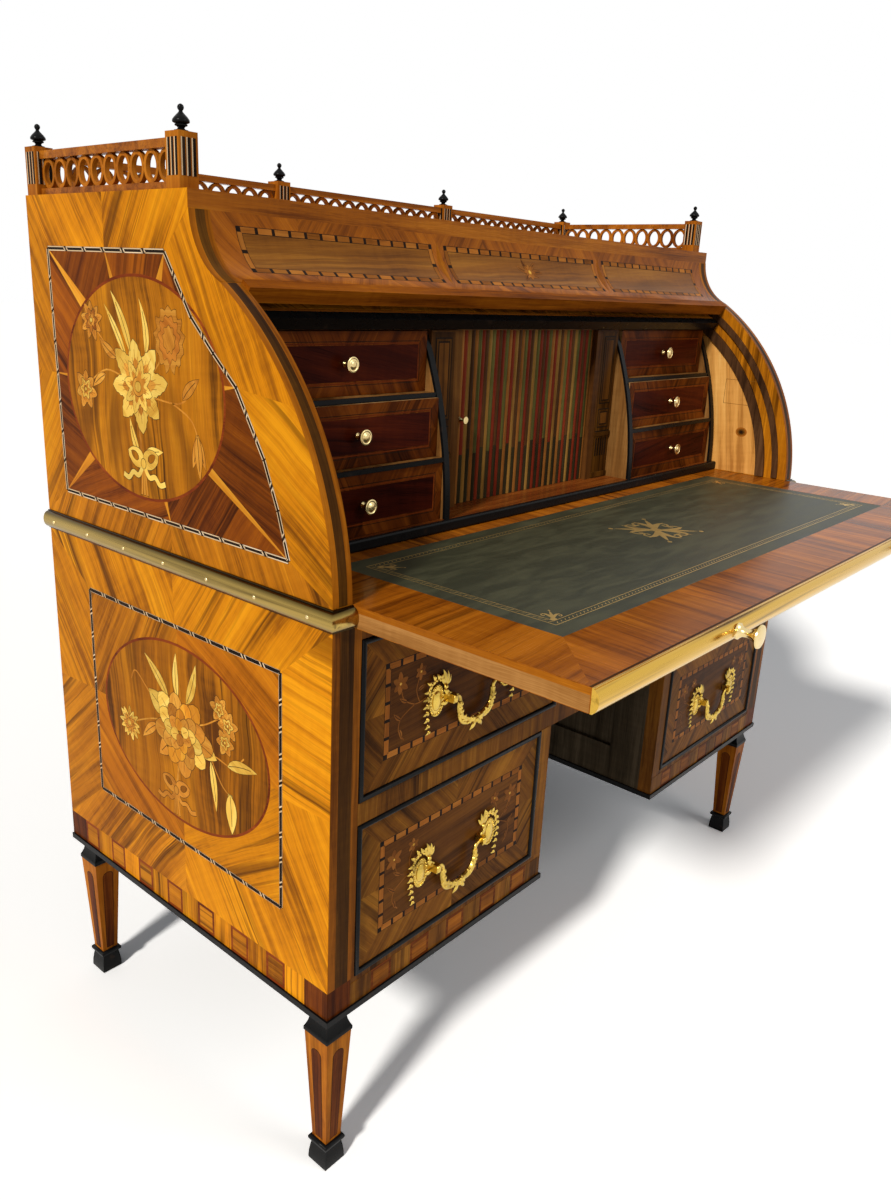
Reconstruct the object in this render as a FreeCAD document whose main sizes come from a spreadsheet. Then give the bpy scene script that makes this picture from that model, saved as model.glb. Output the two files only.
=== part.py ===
import FreeCAD, Part
import os
import re
import Sketcher

os.makedirs("parts", exist_ok=True)
doc = FreeCAD.newDocument("cylinder_desk")
sheet = doc.addObject("Spreadsheet::Sheet", "sizes")

# Driving dimensions, millimetres and degrees
SIZES = {
    # Case
    "case_width": 1176,
    "case_depth": 572,
    "case_base": 244,
    "side_thick": 27,
    "back_thick": 10,
    "pedestal_share": 0.359,
    "inner_side_thick": 20,
    "panel_recess": 6,
    "panel_margin": 62,
    "bottom_thick": 12,
    "deck_thick": 16,
    "bed_thick": 14,
    "partition_step": 6,
    "partition_thick": 20,
    "runner_width": 34,
    # Front frame
    "stile_depth": 24,
    "outer_stile": 42,
    "inner_stile": 24,
    "base_band": 38,
    "lower_opening": 203,
    "mid_rail": 28,
    "upper_opening": 196,
    "top_rail": 17,
    "slide_zone": 25,
    # Beads and moulds
    "bead_width": 7,
    "bead_proud": 3,
    "bead_depth": 6,
    "plate_thick": 8,
    "plate_proud": 3,
    "band_proud": 10,
    "band_round": 8.5,
    # Legs
    "leg_inset": 6,
    "leg_head": 40,
    "leg_tip": 25,
    "neck_plate": 42,
    "neck_plate_height": 7,
    "neck_top": 30,
    "neck_height": 36,
    "collar": 33,
    "collar_height": 8,
    "foot_head": 26,
    "foot_wide": 32,
    "foot_height": 30,
    # Upper case
    "upper_height": 402,
    "fall_share": 0.6607,
    "lip_share": 0.8455,
    "lip_drop": 72.5,
    "cove_reach": 52,
    "cove_share": 0.95,
    "top_thick": 19,
    "frieze_thick": 24,
    "frieze_cover": 14,
    "lip_proud": 5,
    "lip_span_angle": 2.2,
    # Guides and cylinder
    "guide_thick": 6,
    "outer_guide_width": 10,
    "channel_cover": 26,
    "channel_width": 16,
    "inner_guide_width": 16,
    "guide_rise": 1,
    "guide_short_angle": 1.5,
    "shell_gap": 0.5,
    "shell_end_gap": 1,
    "open_gap_angle": 3.7,
    "rail_span_angle": 2.2,
    "shell_clear": 32.5,
    # Gallery
    "post_width": 24,
    "post_height": 56,
    "gallery_inset": 2,
    "gallery_setback": 16,
    "gallery_rail_depth": 12,
    "gallery_low_rail": 8,
    "gallery_top_rail": 9,
    "post_rise": 5,
    "fret_thick": 6,
    "oval_height": 26,
    "oval_width": 22,
    "finial_foot": 9,
    "finial_waist": 3.5,
    "finial_bowl": 8.5,
    "finial_height": 27,
    # Writing slide
    "slide_out": 290,
    "slide_short": 42,
    "slide_gap": 0.3,
    "slide_side_gap": 0.6,
    "edge_bulge": 8,
    "edge_round": 7.5,
    "leather_side": 113,
    "leather_front": 88,
    "leather_back": 125,
    "leather_thick": 1.2,
    "knob_spacing": 580,
    "knob_length": 26,
    "knob_base": 9,
    "knob_neck": 5,
    "knob_disc": 13,
    # Nest of small drawers
    "nest_roof_clear": 13.2,
    "nest_short": 52,
    "nest_base_thick": 15,
    "nest_side_gap": 9,
    "nest_board": 10,
    "nest_inner": 236,
    "nest_curve": 580,
    "nest_clear": 1.7,
    "nest_shelf": 6,
    "nest_top_thick": 8,
    "nest_edge": 4,
    "nosing": 7,
    "nosing_round": 3,
    "pilaster_width": 64,
    "pilaster_set": 46,
    "pilaster_thick": 8,
    # Tambour
    "tambour_gap": 2,
    "tambour_lap": 14,
    "slat_thick": 5,
    "tambour_knob_inset": 14,
    "tambour_knob_radius": 5,
    "tambour_knob_length": 12,
    # Drawers
    "drawer_gap": 1,
    "running_gap": 0.3,
    "drawer_set": 1,
    "drawer_front": 20,
    "drawer_wall": 10,
    "drawer_floor": 8,
    "drawer_short": 102,
    "drawer_drop": 18,
    "small_front": 10,
    "small_wall": 6,
    "small_floor": 4,
    "small_short": 40,
    "small_drop": 8,
    "small_gap": 0.6,
    "small_set": 3,
    "small_rise_share": 0.5,
    "small_disc_share": 0.128,
    "small_neck_share": 0.045,
    "small_foot_share": 0.077,
    "small_knob_length": 17,
    # Bail handles
    "handle_span": 136,
    "lug_shift": 22,
    "handle_drop": 10,
    "rosette_width": 26,
    "rosette_height": 40,
    "rosette_thick": 3,
    "lug_width": 8,
    "lug_height": 11,
    "lug_reach": 14,
    "pivot_reach": 9,
    "pivot_gap": 0.05,
    "bail_radius": 2.6,
    "bail_shoulder": 8,
    "bail_bend": 16,
    "bail_hang": 42,
    "bail_clear": 2,
    # One overrun for all cuts
    "overrun": 10,
}

# Counts
SIDE_OVALS = 10
BACK_OVALS = 12
NEST_ROWS = 3
SLATS = 47

# Shares of the piece that carries each detail
KNOB_SHARES = {"foot": 0.12, "neck": 0.35, "flare": 0.8}
FINIAL_SHARES = (("finial_foot", 0.14), ("finial_waist", 0.3), ("finial_bowl", 0.5), ("finial_bowl", 0.66),
                 ("finial_waist", 0.85))

# Left ends of the three bays of the back gallery
BAY_STARTS = ("-post_side", "-post_middle + post_width / 2", "post_middle + post_width / 2")

# Values worked out from the driving dimensions
RULES = {
    "half": "case_width / 2",
    "inner_half": "half - side_thick",
    "pedestal_width": "case_width * pedestal_share",
    "partition_start": "pedestal_width + partition_step",
    "front": "(slide_out + edge_bulge + knob_length - case_depth) / 2",
    "rear": "front + case_depth",
    "rear_inner": "rear - back_thick",
    "frame_back": "front + stile_depth",
    "band_top": "case_base + base_band",
    "lower_top": "band_top + lower_opening",
    "upper_floor": "lower_top + mid_rail",
    "upper_top": "upper_floor + upper_opening",
    "slide_floor": "upper_top + top_rail",
    "desk_height": "slide_floor + slide_zone",
    "case_top": "desk_height + upper_height",
    "deck_low": "upper_floor - deck_thick",
    "bed_low": "slide_floor - bed_thick",
    "top_low": "case_top - top_thick",
    "fall_radius": "case_depth * fall_share",
    "lip_up": "fall_radius * lip_share",
    "lip_in": "sqrt(fall_radius ^ 2 - lip_up ^ 2)",
    "axis_height": "top_low - lip_drop - lip_up",
    "axis_setback": "fall_radius",
    "axis_y": "front + axis_setback",
    "side_foot": "axis_setback - sqrt(fall_radius ^ 2 - (desk_height - axis_height) ^ 2)",
    "lip_setback": "axis_setback - lip_in",
    "top_setback": "lip_setback + cove_reach",
    "cavetto_radius": "sqrt(cove_reach ^ 2 + lip_drop ^ 2) * cove_share",
    "frieze_radius": "fall_radius - frieze_cover",
    "channel_outer": "fall_radius - channel_cover",
    "channel_inner": "channel_outer - channel_width",
    "lip_rise": "axis_height + lip_up - desk_height",
    "top_rise": "top_low - desk_height",
    "frieze_end": "top_setback + frieze_thick",
    "frieze_rise": "axis_height + sqrt(frieze_radius ^ 2 - (axis_setback - frieze_end) ^ 2) - desk_height",
    "lip_back": "axis_setback - lip_in * frieze_radius / fall_radius",
    "lip_back_rise": "axis_height + lip_up * frieze_radius / fall_radius - desk_height",
    "lip_angle": "atan2(lip_up; lip_in) / 1 deg",
    "open_angle": "lip_angle - open_gap_angle",
    "guide_low": "desk_height + guide_rise - axis_height",
    "guide_start_angle": "asin(guide_low / (channel_inner - inner_guide_width)) / 1 deg",
    "shell_end_angle": "acos((axis_setback - case_depth + back_thick + shell_clear) / channel_outer) / 1 deg",
    "guide_end_angle": "shell_end_angle - guide_short_angle",
    "post_front": "front + top_setback + gallery_setback",
    "post_rear": "rear - gallery_inset - post_width",
    "post_side": "half - gallery_inset - post_width",
    "post_middle": "(post_side + post_width / 2) / 3",
    "side_bay": "post_rear - post_front - post_width",
    "back_bay": "2 * post_middle - post_width",
    "fret_height": "post_height - post_rise - gallery_low_rail - gallery_top_rail",
    "slide_front": "front - slide_out",
    "slide_half": "inner_half - slide_side_gap",
    "slide_depth": "case_depth - slide_short",
    "leather_width": "case_width - 2 * leather_side",
    "leather_depth": "slide_depth - leather_front - leather_back",
    "slide_top": "desk_height - slide_gap",
    "nest_floor": "desk_height + nest_base_thick",
    "nest_height": "axis_height + channel_inner * sin(open_angle * 1 deg) - nest_clear - nest_floor",
    "nest_lean": "nest_curve - sqrt(nest_curve ^ 2 - nest_height ^ 2)",
    "nest_roof_rise": "nest_floor + nest_height + nest_top_thick - axis_height",
    "nest_roof_in": "sqrt(channel_inner ^ 2 - nest_roof_rise ^ 2) - nest_roof_clear",
    "nest_front": "axis_setback - nest_roof_in - nest_lean",
    "nest_y": "front + nest_front",
    "nest_row": "(nest_height - 2 * nest_shelf) / 3",
    "small_knob_disc": "nest_row * small_disc_share",
    "small_knob_neck": "nest_row * small_neck_share",
    "small_knob_foot": "nest_row * small_foot_share",
    "nest_half": "inner_half - nest_side_gap",
    "nest_end": "case_depth - nest_short",
    "nest_depth": "nest_end - nest_front",
    "small_end": "nest_end - small_short",
    "drawer_depth": "case_depth - drawer_short",
    "pilaster_y": "nest_y + pilaster_set",
    "tambour_y": "pilaster_y + pilaster_thick + tambour_gap",
    "tambour_half": "nest_inner - pilaster_width + tambour_lap",
    "bail_span": "handle_span - 2 * lug_shift",
    "lug_in": "(bail_span - lug_width) / 2",
    "pin_end": "(bail_span + lug_width) / 2",
    "bail_neck": "lug_in - bail_clear",
    "bail_arm": "bail_neck - bail_shoulder",
    "bail_knee": "bail_hang - bail_bend",
}


def fill_sheet():
    """Writes every size and rule to a cell of its own, with the name as its alias."""
    row = 1
    for name, value in SIZES.items():
        sheet.set("A%d" % row, name)
        sheet.set("B%d" % row, str(value))
        sheet.setAlias("B%d" % row, name)
        row += 1
    for name, rule in RULES.items():
        sheet.set("A%d" % row, name)
        sheet.set("B%d" % row, "=" + rule)
        sheet.setAlias("B%d" % row, name)
        row += 1
    doc.recompute()


def full(text):
    """Gives each size in an expression its sheet's name."""
    return re.sub(r"[a-z_]+", lambda found: "sizes." * (found.group() in KNOWN) + found.group(), text)


def number(text):
    """Value of an expression as the sheet now stands."""
    result = sheet.evalExpression(full(text))
    return float(getattr(result, "Value", result))


def bind(thing, **places):
    for name, text in places.items():
        thing.setExpression(name, full(text))
    return thing


def seat(thing, x, y, z, turn=None):
    """Binds a piece's place, with a fixed turn if it has one."""
    if turn:
        thing.Placement = FreeCAD.Placement(FreeCAD.Vector(), turn)
    for axis, text in zip("xyz", (x, y, z)):
        thing.setExpression("Placement.Base." + axis, full(text))
    return thing


def span(low, high):
    return "(%s) - (%s)" % (high, low)


def board(x0, x1, y0, y1, z0, z1):
    """A rectangular board between six faces."""
    box = doc.addObject("Part::Box", "board")
    bind(box, Length=span(x0, x1), Width=span(y0, y1), Height=span(z0, z1))
    return seat(box, x0, y0, z0)


def minus(text):
    return "-(%s)" % text


def pair(x0, x1, *others):
    """The same board on the left and on the right of the middle; x counts outwards."""
    return [board(minus(x1), minus(x0), *others), board(x0, x1, *others)]


def cut(base, tool, label="cut_piece"):
    result = doc.addObject("Part::Cut", label)
    result.Base = base
    result.Tool = tool
    return result


def fuse(pieces):
    result = doc.addObject("Part::MultiFuse", "fused")
    result.Shapes = pieces
    return result


NODES = []


def node(label, pieces):
    """A sub-part: one piece, or several separate solids that belong together."""
    if not isinstance(pieces, list):
        pieces.Label = label
        NODES.append(pieces)
        return pieces
    group = doc.addObject("Part::Compound", label)
    group.Links = pieces
    group.Label = label
    NODES.append(group)
    return group


def arc_middle(start, end, radius, side):
    """Middle of the short arc whose centre lies left (1) or right (-1) of the way from start to end."""
    chord = end - start
    left = FreeCAD.Vector(-chord.y, chord.x, 0).normalize()
    centre = start + chord * 0.5 + left * side * (radius ** 2 - (chord.Length / 2) ** 2) ** 0.5
    return centre - left * side * radius


def draw(sketch, corners, closed=True):
    """Outline through corners (x, y) or (x, y, radius, side of the centre), each bound to the sheet."""
    places = [FreeCAD.Vector(number(corner[0]), number(corner[1]), 0) for corner in corners]
    count = len(corners) if closed else len(corners) - 1
    first = sketch.GeometryCount
    ends = []
    for i in range(count):
        start = places[i]
        end = places[(i + 1) % len(places)]
        line = Part.LineSegment(start, end)
        if len(corners[i]) > 2:
            line = Part.Arc(start, arc_middle(start, end, number(corners[i][2]), corners[i][3]), end)
        index = sketch.addGeometry(line, False)
        gaps = [sketch.getPoint(index, point).distanceToPoint(start) for point in (1, 2)]
        ends.append((1, 2) if gaps[0] < gaps[1] else (2, 1))
    joins = count if closed else count - 1
    for i in range(joins):
        after = (i + 1) % count
        meeting = (first + i, ends[i][1], first + after, ends[after][0])
        sketch.addConstraint(Sketcher.Constraint("Coincident", *meeting))
    for i, corner in enumerate(corners):
        line, end = (first + i, ends[i][0]) if i < count else (first + i - 1, ends[i - 1][1])
        for kind, axis, text in (("DistanceX", -2, corner[0]), ("DistanceY", -1, corner[1])):
            if text == "0":
                sketch.addConstraint(Sketcher.Constraint("PointOnObject", line, end, axis))
                continue
            index = sketch.addConstraint(Sketcher.Constraint(kind, -1, 1, line, end, number(text)))
            sketch.setExpression("Constraints[%d]" % index, full(text))
        if len(corner) > 2:
            index = sketch.addConstraint(Sketcher.Constraint("Radius", first + i, number(corner[2])))
            sketch.setExpression("Constraints[%d]" % index, full(corner[2]))


def new_sketch(body, plane, name):
    sketch = body.newObject("Sketcher::SketchObject", name)
    sketch.AttachmentSupport = [(part, "") for part in body.Origin.OriginFeatures if part.Role == plane]
    sketch.MapMode = "FlatFace"
    return sketch


def sawn(label, corners, thick, x, y, z):
    """A board sawn to an outline: x of the outline runs back, y runs up, and the thickness to the right."""
    body = doc.addObject("PartDesign::Body", label)
    sketch = new_sketch(body, "YZ_Plane", label + "_outline")
    draw(sketch, corners)
    pad = body.newObject("PartDesign::Pad", label + "_pad")
    pad.Profile = sketch
    bind(pad, Length=thick)
    return seat(body, x, y, z)


def turned(label, corners, x, y, z, turn):
    """A turned piece: corners are (radius, way along the axis), closed along the axis itself."""
    body = doc.addObject("PartDesign::Body", label)
    sketch = new_sketch(body, "XY_Plane", label + "_outline")
    draw(sketch, corners)
    lathe = body.newObject("PartDesign::Revolution", label + "_turning")
    lathe.Profile = sketch
    lathe.ReferenceAxis = (sketch, ["V_Axis"])
    lathe.Angle = 360
    return seat(body, x, y, z, turn)


ALONG_X = FreeCAD.Vector(1, 0, 0)
ALONG_Y = FreeCAD.Vector(0, 1, 0)
ALONG_Z = FreeCAD.Vector(0, 0, 1)
FORWARD = FreeCAD.Rotation(ALONG_Z, 180)
UPWARD = FreeCAD.Rotation(ALONG_X, 90)
SIDEWAYS = FreeCAD.Rotation(ALONG_Y, 90)
ROUND_AXIS = FreeCAD.Rotation(-ALONG_Y, ALONG_Z, -ALONG_X, "ZXY")


def sector(inner, outer, start, end, x0, x1, label):
    """Part of a tube about the cylinder's axis; angles rise from the front to the back."""
    turn = ROUND_AXIS * FreeCAD.Rotation(ALONG_Z, number(start))
    blank = doc.addObject("Part::Cylinder", label + "_blank")
    bind(blank, Radius=outer, Height=span(x0, x1), Angle=span(start, end))
    seat(blank, x1, "axis_y", "axis_height", turn)
    core = doc.addObject("Part::Cylinder", label + "_core")
    bind(core, Radius=inner, Height=span(x0, x1) + " + 2 * overrun")
    seat(core, x1 + " + overrun", "axis_y", "axis_height", turn)
    return cut(blank, core, label)


def rounded(base, radius, wanted):
    """Rounds the straight edges that the test accepts."""
    doc.recompute()
    result = doc.addObject("Part::Fillet", "rounded")
    result.Base = base
    size = number(radius)
    edges = enumerate(base.Shape.Edges, 1)
    result.Edges = [(index, size, size) for index, edge in edges if wanted(edge)]
    return result


def taper(low, high, tall, x, y, z):
    """A square tapered block that stands on its middle (x, y)."""
    wedge = doc.addObject("Part::Wedge", "taper")
    for end, width in (("", low), ("2", high)):
        for axis in "XZ":
            bind(wedge, **{axis + end + "min": "-(%s) / 2" % width, axis + end + "max": "(%s) / 2" % width})
    wedge.Ymin = 0
    bind(wedge, Ymax=tall)
    return seat(wedge, x, y, z, UPWARD)


def lower_case():
    """Sides, front frame, inner boards, backs, beads and base plates."""
    node("lower_sides", pair("inner_half", "half", "frame_back", "rear", "case_base", "desk_height"))

    edge = "half - pedestal_width"
    part_out = "half - partition_start"
    part_in = part_out + " - partition_thick"
    rail_half = "half - outer_stile"
    frame = pair(rail_half, "half", "front", "frame_back", "band_top", "slide_floor")
    frame += pair("inner_half", "half", "front", "frame_back", "slide_floor", "desk_height")
    frame += pair(edge, "half", "front", "frame_back", "case_base", "band_top")
    frame += pair(edge, edge + " + inner_stile", "front", "frame_back", "band_top", "lower_top")
    frame += pair(part_in, part_out, "front", "frame_back", "upper_floor", "upper_top")
    frame.append(board(minus(rail_half), rail_half, "front", "frame_back", "lower_top", "upper_floor"))
    frame.append(board(minus(rail_half), rail_half, "front", "frame_back", "upper_top", "slide_floor"))
    node("front_frame", frame)

    inner_edge = edge + " + inner_side_thick"
    walls = []
    planks = pair(edge, inner_edge, "frame_back", "rear_inner", "case_base", "deck_low")
    for wall, sign in zip(planks, (-1, 1)):
        face = ("-(%s + panel_recess)" % edge, minus(edge) + " + overrun")
        if sign > 0:
            face = (edge + " - overrun", edge + " + panel_recess")
        ends = ("frame_back + panel_margin", "rear_inner - panel_margin")
        field = board(*face, *ends, "case_base + panel_margin", "deck_low - panel_margin")
        walls.append(cut(wall, field))
    node("pedestal_inner_sides", walls)

    room = ("frame_back", "rear_inner")
    low_seat = "band_top + bead_width + drawer_gap - running_gap"
    high_seat = "upper_floor + bead_width + drawer_gap - running_gap"
    low_floor = "case_base + bottom_thick"
    boards = pair(inner_edge, "inner_half", *room, "case_base", low_floor)
    boards += pair(inner_edge, inner_edge + " + runner_width", *room, low_floor, low_seat)
    boards += pair("inner_half - runner_width", "inner_half", *room, low_floor, low_seat)
    boards.append(board("-inner_half", "inner_half", *room, "deck_low", "upper_floor"))
    boards += pair(part_in, part_out, *room, "upper_floor", "bed_low")
    boards += pair(part_out, part_out + " + runner_width", *room, "upper_floor", high_seat)
    boards += pair("inner_half - runner_width", "inner_half", *room, "upper_floor", high_seat)
    boards += pair(part_in + " - runner_width", part_in, *room, "upper_floor", high_seat)
    boards.append(board("-inner_half", "inner_half", *room, "bed_low", "slide_floor"))
    node("inner_boards", boards)

    backs = pair(edge, "inner_half", "rear_inner", "rear", "case_base", "deck_low")
    backs.append(board("-inner_half", "inner_half", "rear_inner", "rear", "deck_low", "desk_height"))
    backs.append(board("-inner_half", "inner_half", "rear_inner", "rear", "desk_height", "top_low"))
    node("back_boards", backs)

    plates = pair(edge + " - plate_proud", "half + plate_proud", "front - plate_proud", "rear",
                  "case_base - plate_thick", "case_base")
    node("base_plates", plates)

    bands = []
    for bar in pair("half", "half + band_proud", "front - band_proud", "rear", "slide_floor", "desk_height"):
        outer = max((vertex.Point.x for vertex in shape_of(bar).Vertexes), key=abs)
        bands.append(rounded(bar, "band_round", lambda edge: on_face(edge, "x", outer) and along(edge, "y")))
    for bar in pair("inner_half", "half", "front - band_proud", "front", "slide_floor", "desk_height"):
        bands.append(nosed(bar, "band_round"))
    node("waist_bands", bands)


def shape_of(thing):
    doc.recompute()
    return thing.Shape


def along(edge, axis):
    """Whether a straight edge runs along an axis."""
    way = edge.Vertexes[-1].Point - edge.Vertexes[0].Point
    return abs(getattr(way, axis)) > 0.99 * way.Length


def on_face(edge, axis, value):
    near = Part.Precision.confusion() * 10
    return all(abs(getattr(vertex.Point, axis) - value) < near for vertex in edge.Vertexes)


def nosed(bar, radius):
    """Rounds the two long edges of a bar's front."""
    nose = min(vertex.Point.y for vertex in shape_of(bar).Vertexes)
    return rounded(bar, radius, lambda edge: on_face(edge, "y", nose) and along(edge, "x"))


def openings():
    """Drawer openings as (name, x0, x1, z0, z1)."""
    low = ("half - pedestal_width + inner_stile", "half - outer_stile", "band_top", "lower_top")
    high = ("half - partition_start", "half - outer_stile", "upper_floor", "upper_top")
    inside = "half - partition_start - partition_thick"
    return [
        ("lower_left", minus(low[1]), minus(low[0]), low[2], low[3]),
        ("lower_right", *low),
        ("upper_left", minus(high[1]), minus(high[0]), high[2], high[3]),
        ("upper_right", *high),
        ("middle", minus(inside), inside, high[2], high[3]),
    ]


def drawer_beads():
    """A frame of four black bars in each drawer opening."""
    bars = []
    depth = ("front - bead_proud", "front + bead_depth")
    for _, x0, x1, z0, z1 in openings():
        low = z0 + " + bead_width"
        high = z1 + " - bead_width"
        bars.append(board(x0, x1, *depth, z0, low))
        bars.append(board(x0, x1, *depth, high, z1))
        bars.append(board(x0, x0 + " + bead_width", *depth, low, high))
        bars.append(board(x1 + " - bead_width", x1, *depth, low, high))
    node("drawer_beads", bars)


def drawer_box(x0, x1, y0, y1, z0, z1, front, wall, floor, drop):
    """Front, two sides, back and bottom of a drawer as separate boards."""
    inside = y0 + " + " + front
    rim = z1 + " - " + drop
    return [
        board(x0, x1, y0, inside, z0, z1),
        board(x0, x0 + " + " + wall, inside, y1, z0, rim),
        board(x1 + " - " + wall, x1, inside, y1, z0, rim),
        board(x0 + " + " + wall, x1 + " - " + wall, y1 + " - " + wall, y1, z0, rim),
        board(x0 + " + " + wall, x1 + " - " + wall, inside, y1 + " - " + wall, z0, z0 + " + " + floor),
    ]


def rosette(x, inward, y, z):
    """Oval back plate with an arm to the lug that carries one end of the bail."""
    oval = doc.addObject("Part::Ellipse", "oval")
    bind(oval, MajorRadius="rosette_height / 2", MinorRadius="rosette_width / 2")
    seat(oval, x, y, z, FreeCAD.Rotation(ALONG_Z, ALONG_X, ALONG_Y, "ZXY"))
    plate = doc.addObject("Part::Extrusion", "plate")
    plate.Base = oval
    plate.DirMode = "Custom"
    plate.Dir = -ALONG_Y
    plate.Solid = True
    bind(plate, LengthFwd="rosette_thick")
    shift = x + inward + "lug_shift"
    side = (shift + " - lug_width / 2", shift + " + lug_width / 2")
    reach = (y + " - lug_reach", y + " - rosette_thick / 2")
    level = (z + " - lug_height / 2", z + " + lug_height / 2")
    lug = board(*side, *reach, *level)
    ends = (x, shift) if inward == " + " else (shift, x)
    arm = board(*ends, y + " - rosette_thick", y, *level)
    hole = doc.addObject("Part::Cylinder", "hole")
    bind(hole, Radius="bail_radius + pivot_gap", Height="lug_width + 2 * overrun")
    seat(hole, side[0] + " - overrun", y + " - pivot_reach", z, SIDEWAYS)
    return cut(fuse([plate, arm, lug]), hole)


def bail(label, x, y, z):
    """A round bar bent to a hanging loop, its two ends turned out as pins."""
    path = doc.addObject("Sketcher::SketchObject", label + "_path")
    draw(path, [
        ("0", "0"),
        ("pin_end - bail_neck", "0", "bail_shoulder", 1),
        ("pin_end - bail_arm", "bail_shoulder"),
        ("pin_end - bail_arm", "bail_knee", "bail_bend", -1),
        ("pin_end - bail_arm + bail_bend", "bail_hang"),
        ("pin_end + bail_arm - bail_bend", "bail_hang", "bail_bend", -1),
        ("pin_end + bail_arm", "bail_knee"),
        ("pin_end + bail_arm", "bail_shoulder", "bail_shoulder", 1),
        ("pin_end + bail_neck", "0"),
        ("2 * pin_end", "0"),
    ], closed=False)
    place = (x + " - pin_end", y + " - pivot_reach", z)
    seat(path, *place, FreeCAD.Rotation(ALONG_X, -ALONG_Z, ALONG_Y, "ZXY"))
    ring = doc.addObject("Part::Circle", label + "_ring")
    bind(ring, Radius="bail_radius")
    seat(ring, *place, SIDEWAYS)
    doc.recompute()
    bar = doc.addObject("Part::Sweep", label)
    bar.Sections = [ring]
    bar.Spine = (path, ["Edge%d" % (i + 1) for i in range(len(path.Shape.Edges))])
    bar.Solid = True
    return bar


def large_drawers():
    """Five drawers, each with its two rosettes and its bail."""
    room = "(bead_width + drawer_gap)"
    for name, x0, x1, z0, z1 in openings():
        left = "%s + %s" % (x0, room)
        right = "%s - %s" % (x1, room)
        low = "%s + %s" % (z0, room)
        high = "%s - %s" % (z1, room)
        face = "front + drawer_set"
        walls = ("drawer_front", "drawer_wall", "drawer_floor", "drawer_drop")
        node(name + "_drawer", drawer_box(left, right, face, face + " + drawer_depth", low, high, *walls))
        middle = "((%s) + (%s)) / 2" % (x0, x1)
        height = "((%s) + (%s)) / 2 - handle_drop" % (z0, z1)
        sides = [(middle + " - handle_span / 2", " + "), (middle + " + handle_span / 2", " - ")]
        node(name + "_rosettes", [rosette(*side, face, height) for side in sides])
        node(name + "_bail", bail(name + "_bail", middle, face, height))


def legs():
    """Four tapered legs with their black necks and feet."""
    x_out = "half - leg_inset - leg_head / 2"
    places = [(sign + "(%s)" % x_out, y) for sign in ("-", "") for y in
              ("front + leg_inset + leg_head / 2", "rear - leg_inset - leg_head / 2")]
    neck_low = "case_base - plate_thick - neck_height"
    foot_top = "foot_height + collar_height"
    shafts = []
    ends = []
    for x, y in places:
        shafts.append(taper("leg_tip", "leg_head", "%s - (%s)" % (neck_low, foot_top), x, y, foot_top))
        cap = taper("neck_plate", "neck_plate", "neck_plate_height", x, y, neck_low)
        flare_low = neck_low + " + neck_plate_height"
        flare = taper("neck_plate", "neck_top", "neck_height - neck_plate_height", x, y, flare_low)
        ends.append(fuse([cap, flare]))
        block = taper("foot_wide", "foot_head", "foot_height", x, y, "0")
        ring = taper("collar", "collar", "collar_height", x, y, "foot_height")
        ends.append(fuse([block, ring]))
    node("legs", shafts)
    node("ebonised_feet", ends)


def upper_case():
    """Shaped sides, top, cavetto frieze with its lip, and the curved guides."""
    outline = [
        ("side_foot", "0", "fall_radius", -1),
        ("lip_setback", "lip_rise", "cavetto_radius", 1),
        ("top_setback", "top_rise"),
        ("case_depth", "top_rise"),
        ("case_depth", "0"),
    ]
    place = ("front", "desk_height")
    sides = [sawn("upper_side", outline, "side_thick", x, *place) for x in ("-half", "inner_half")]
    node("upper_sides", sides)
    node("top_board", board("-half", "half", "front + top_setback", "rear", "top_low", "case_top"))

    cove = [
        ("lip_setback", "lip_rise", "cavetto_radius", 1),
        ("top_setback", "top_rise"),
        ("frieze_end", "top_rise"),
        ("frieze_end", "frieze_rise", "frieze_radius", 1),
        ("lip_back", "lip_back_rise"),
    ]
    node("cavetto_frieze", sawn("frieze", cove, "2 * inner_half", "-inner_half", *place))
    lip = sector("frieze_radius", "fall_radius + lip_proud", "lip_angle - lip_span_angle", "lip_angle",
                 "-inner_half", "inner_half", "lip")
    node("cavetto_lip", lip)

    strips = []
    radii = (("channel_outer", "channel_outer + outer_guide_width"),
             ("channel_inner - inner_guide_width", "channel_inner"))
    sides = (("-inner_half", "-inner_half + guide_thick"), ("inner_half - guide_thick", "inner_half"))
    turn = ("guide_start_angle", "guide_end_angle")
    for inner, outer in radii:
        for ends in sides:
            strips.append(sector(inner, outer, *turn, *ends, "guide"))
    node("guide_strips", strips)


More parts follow.
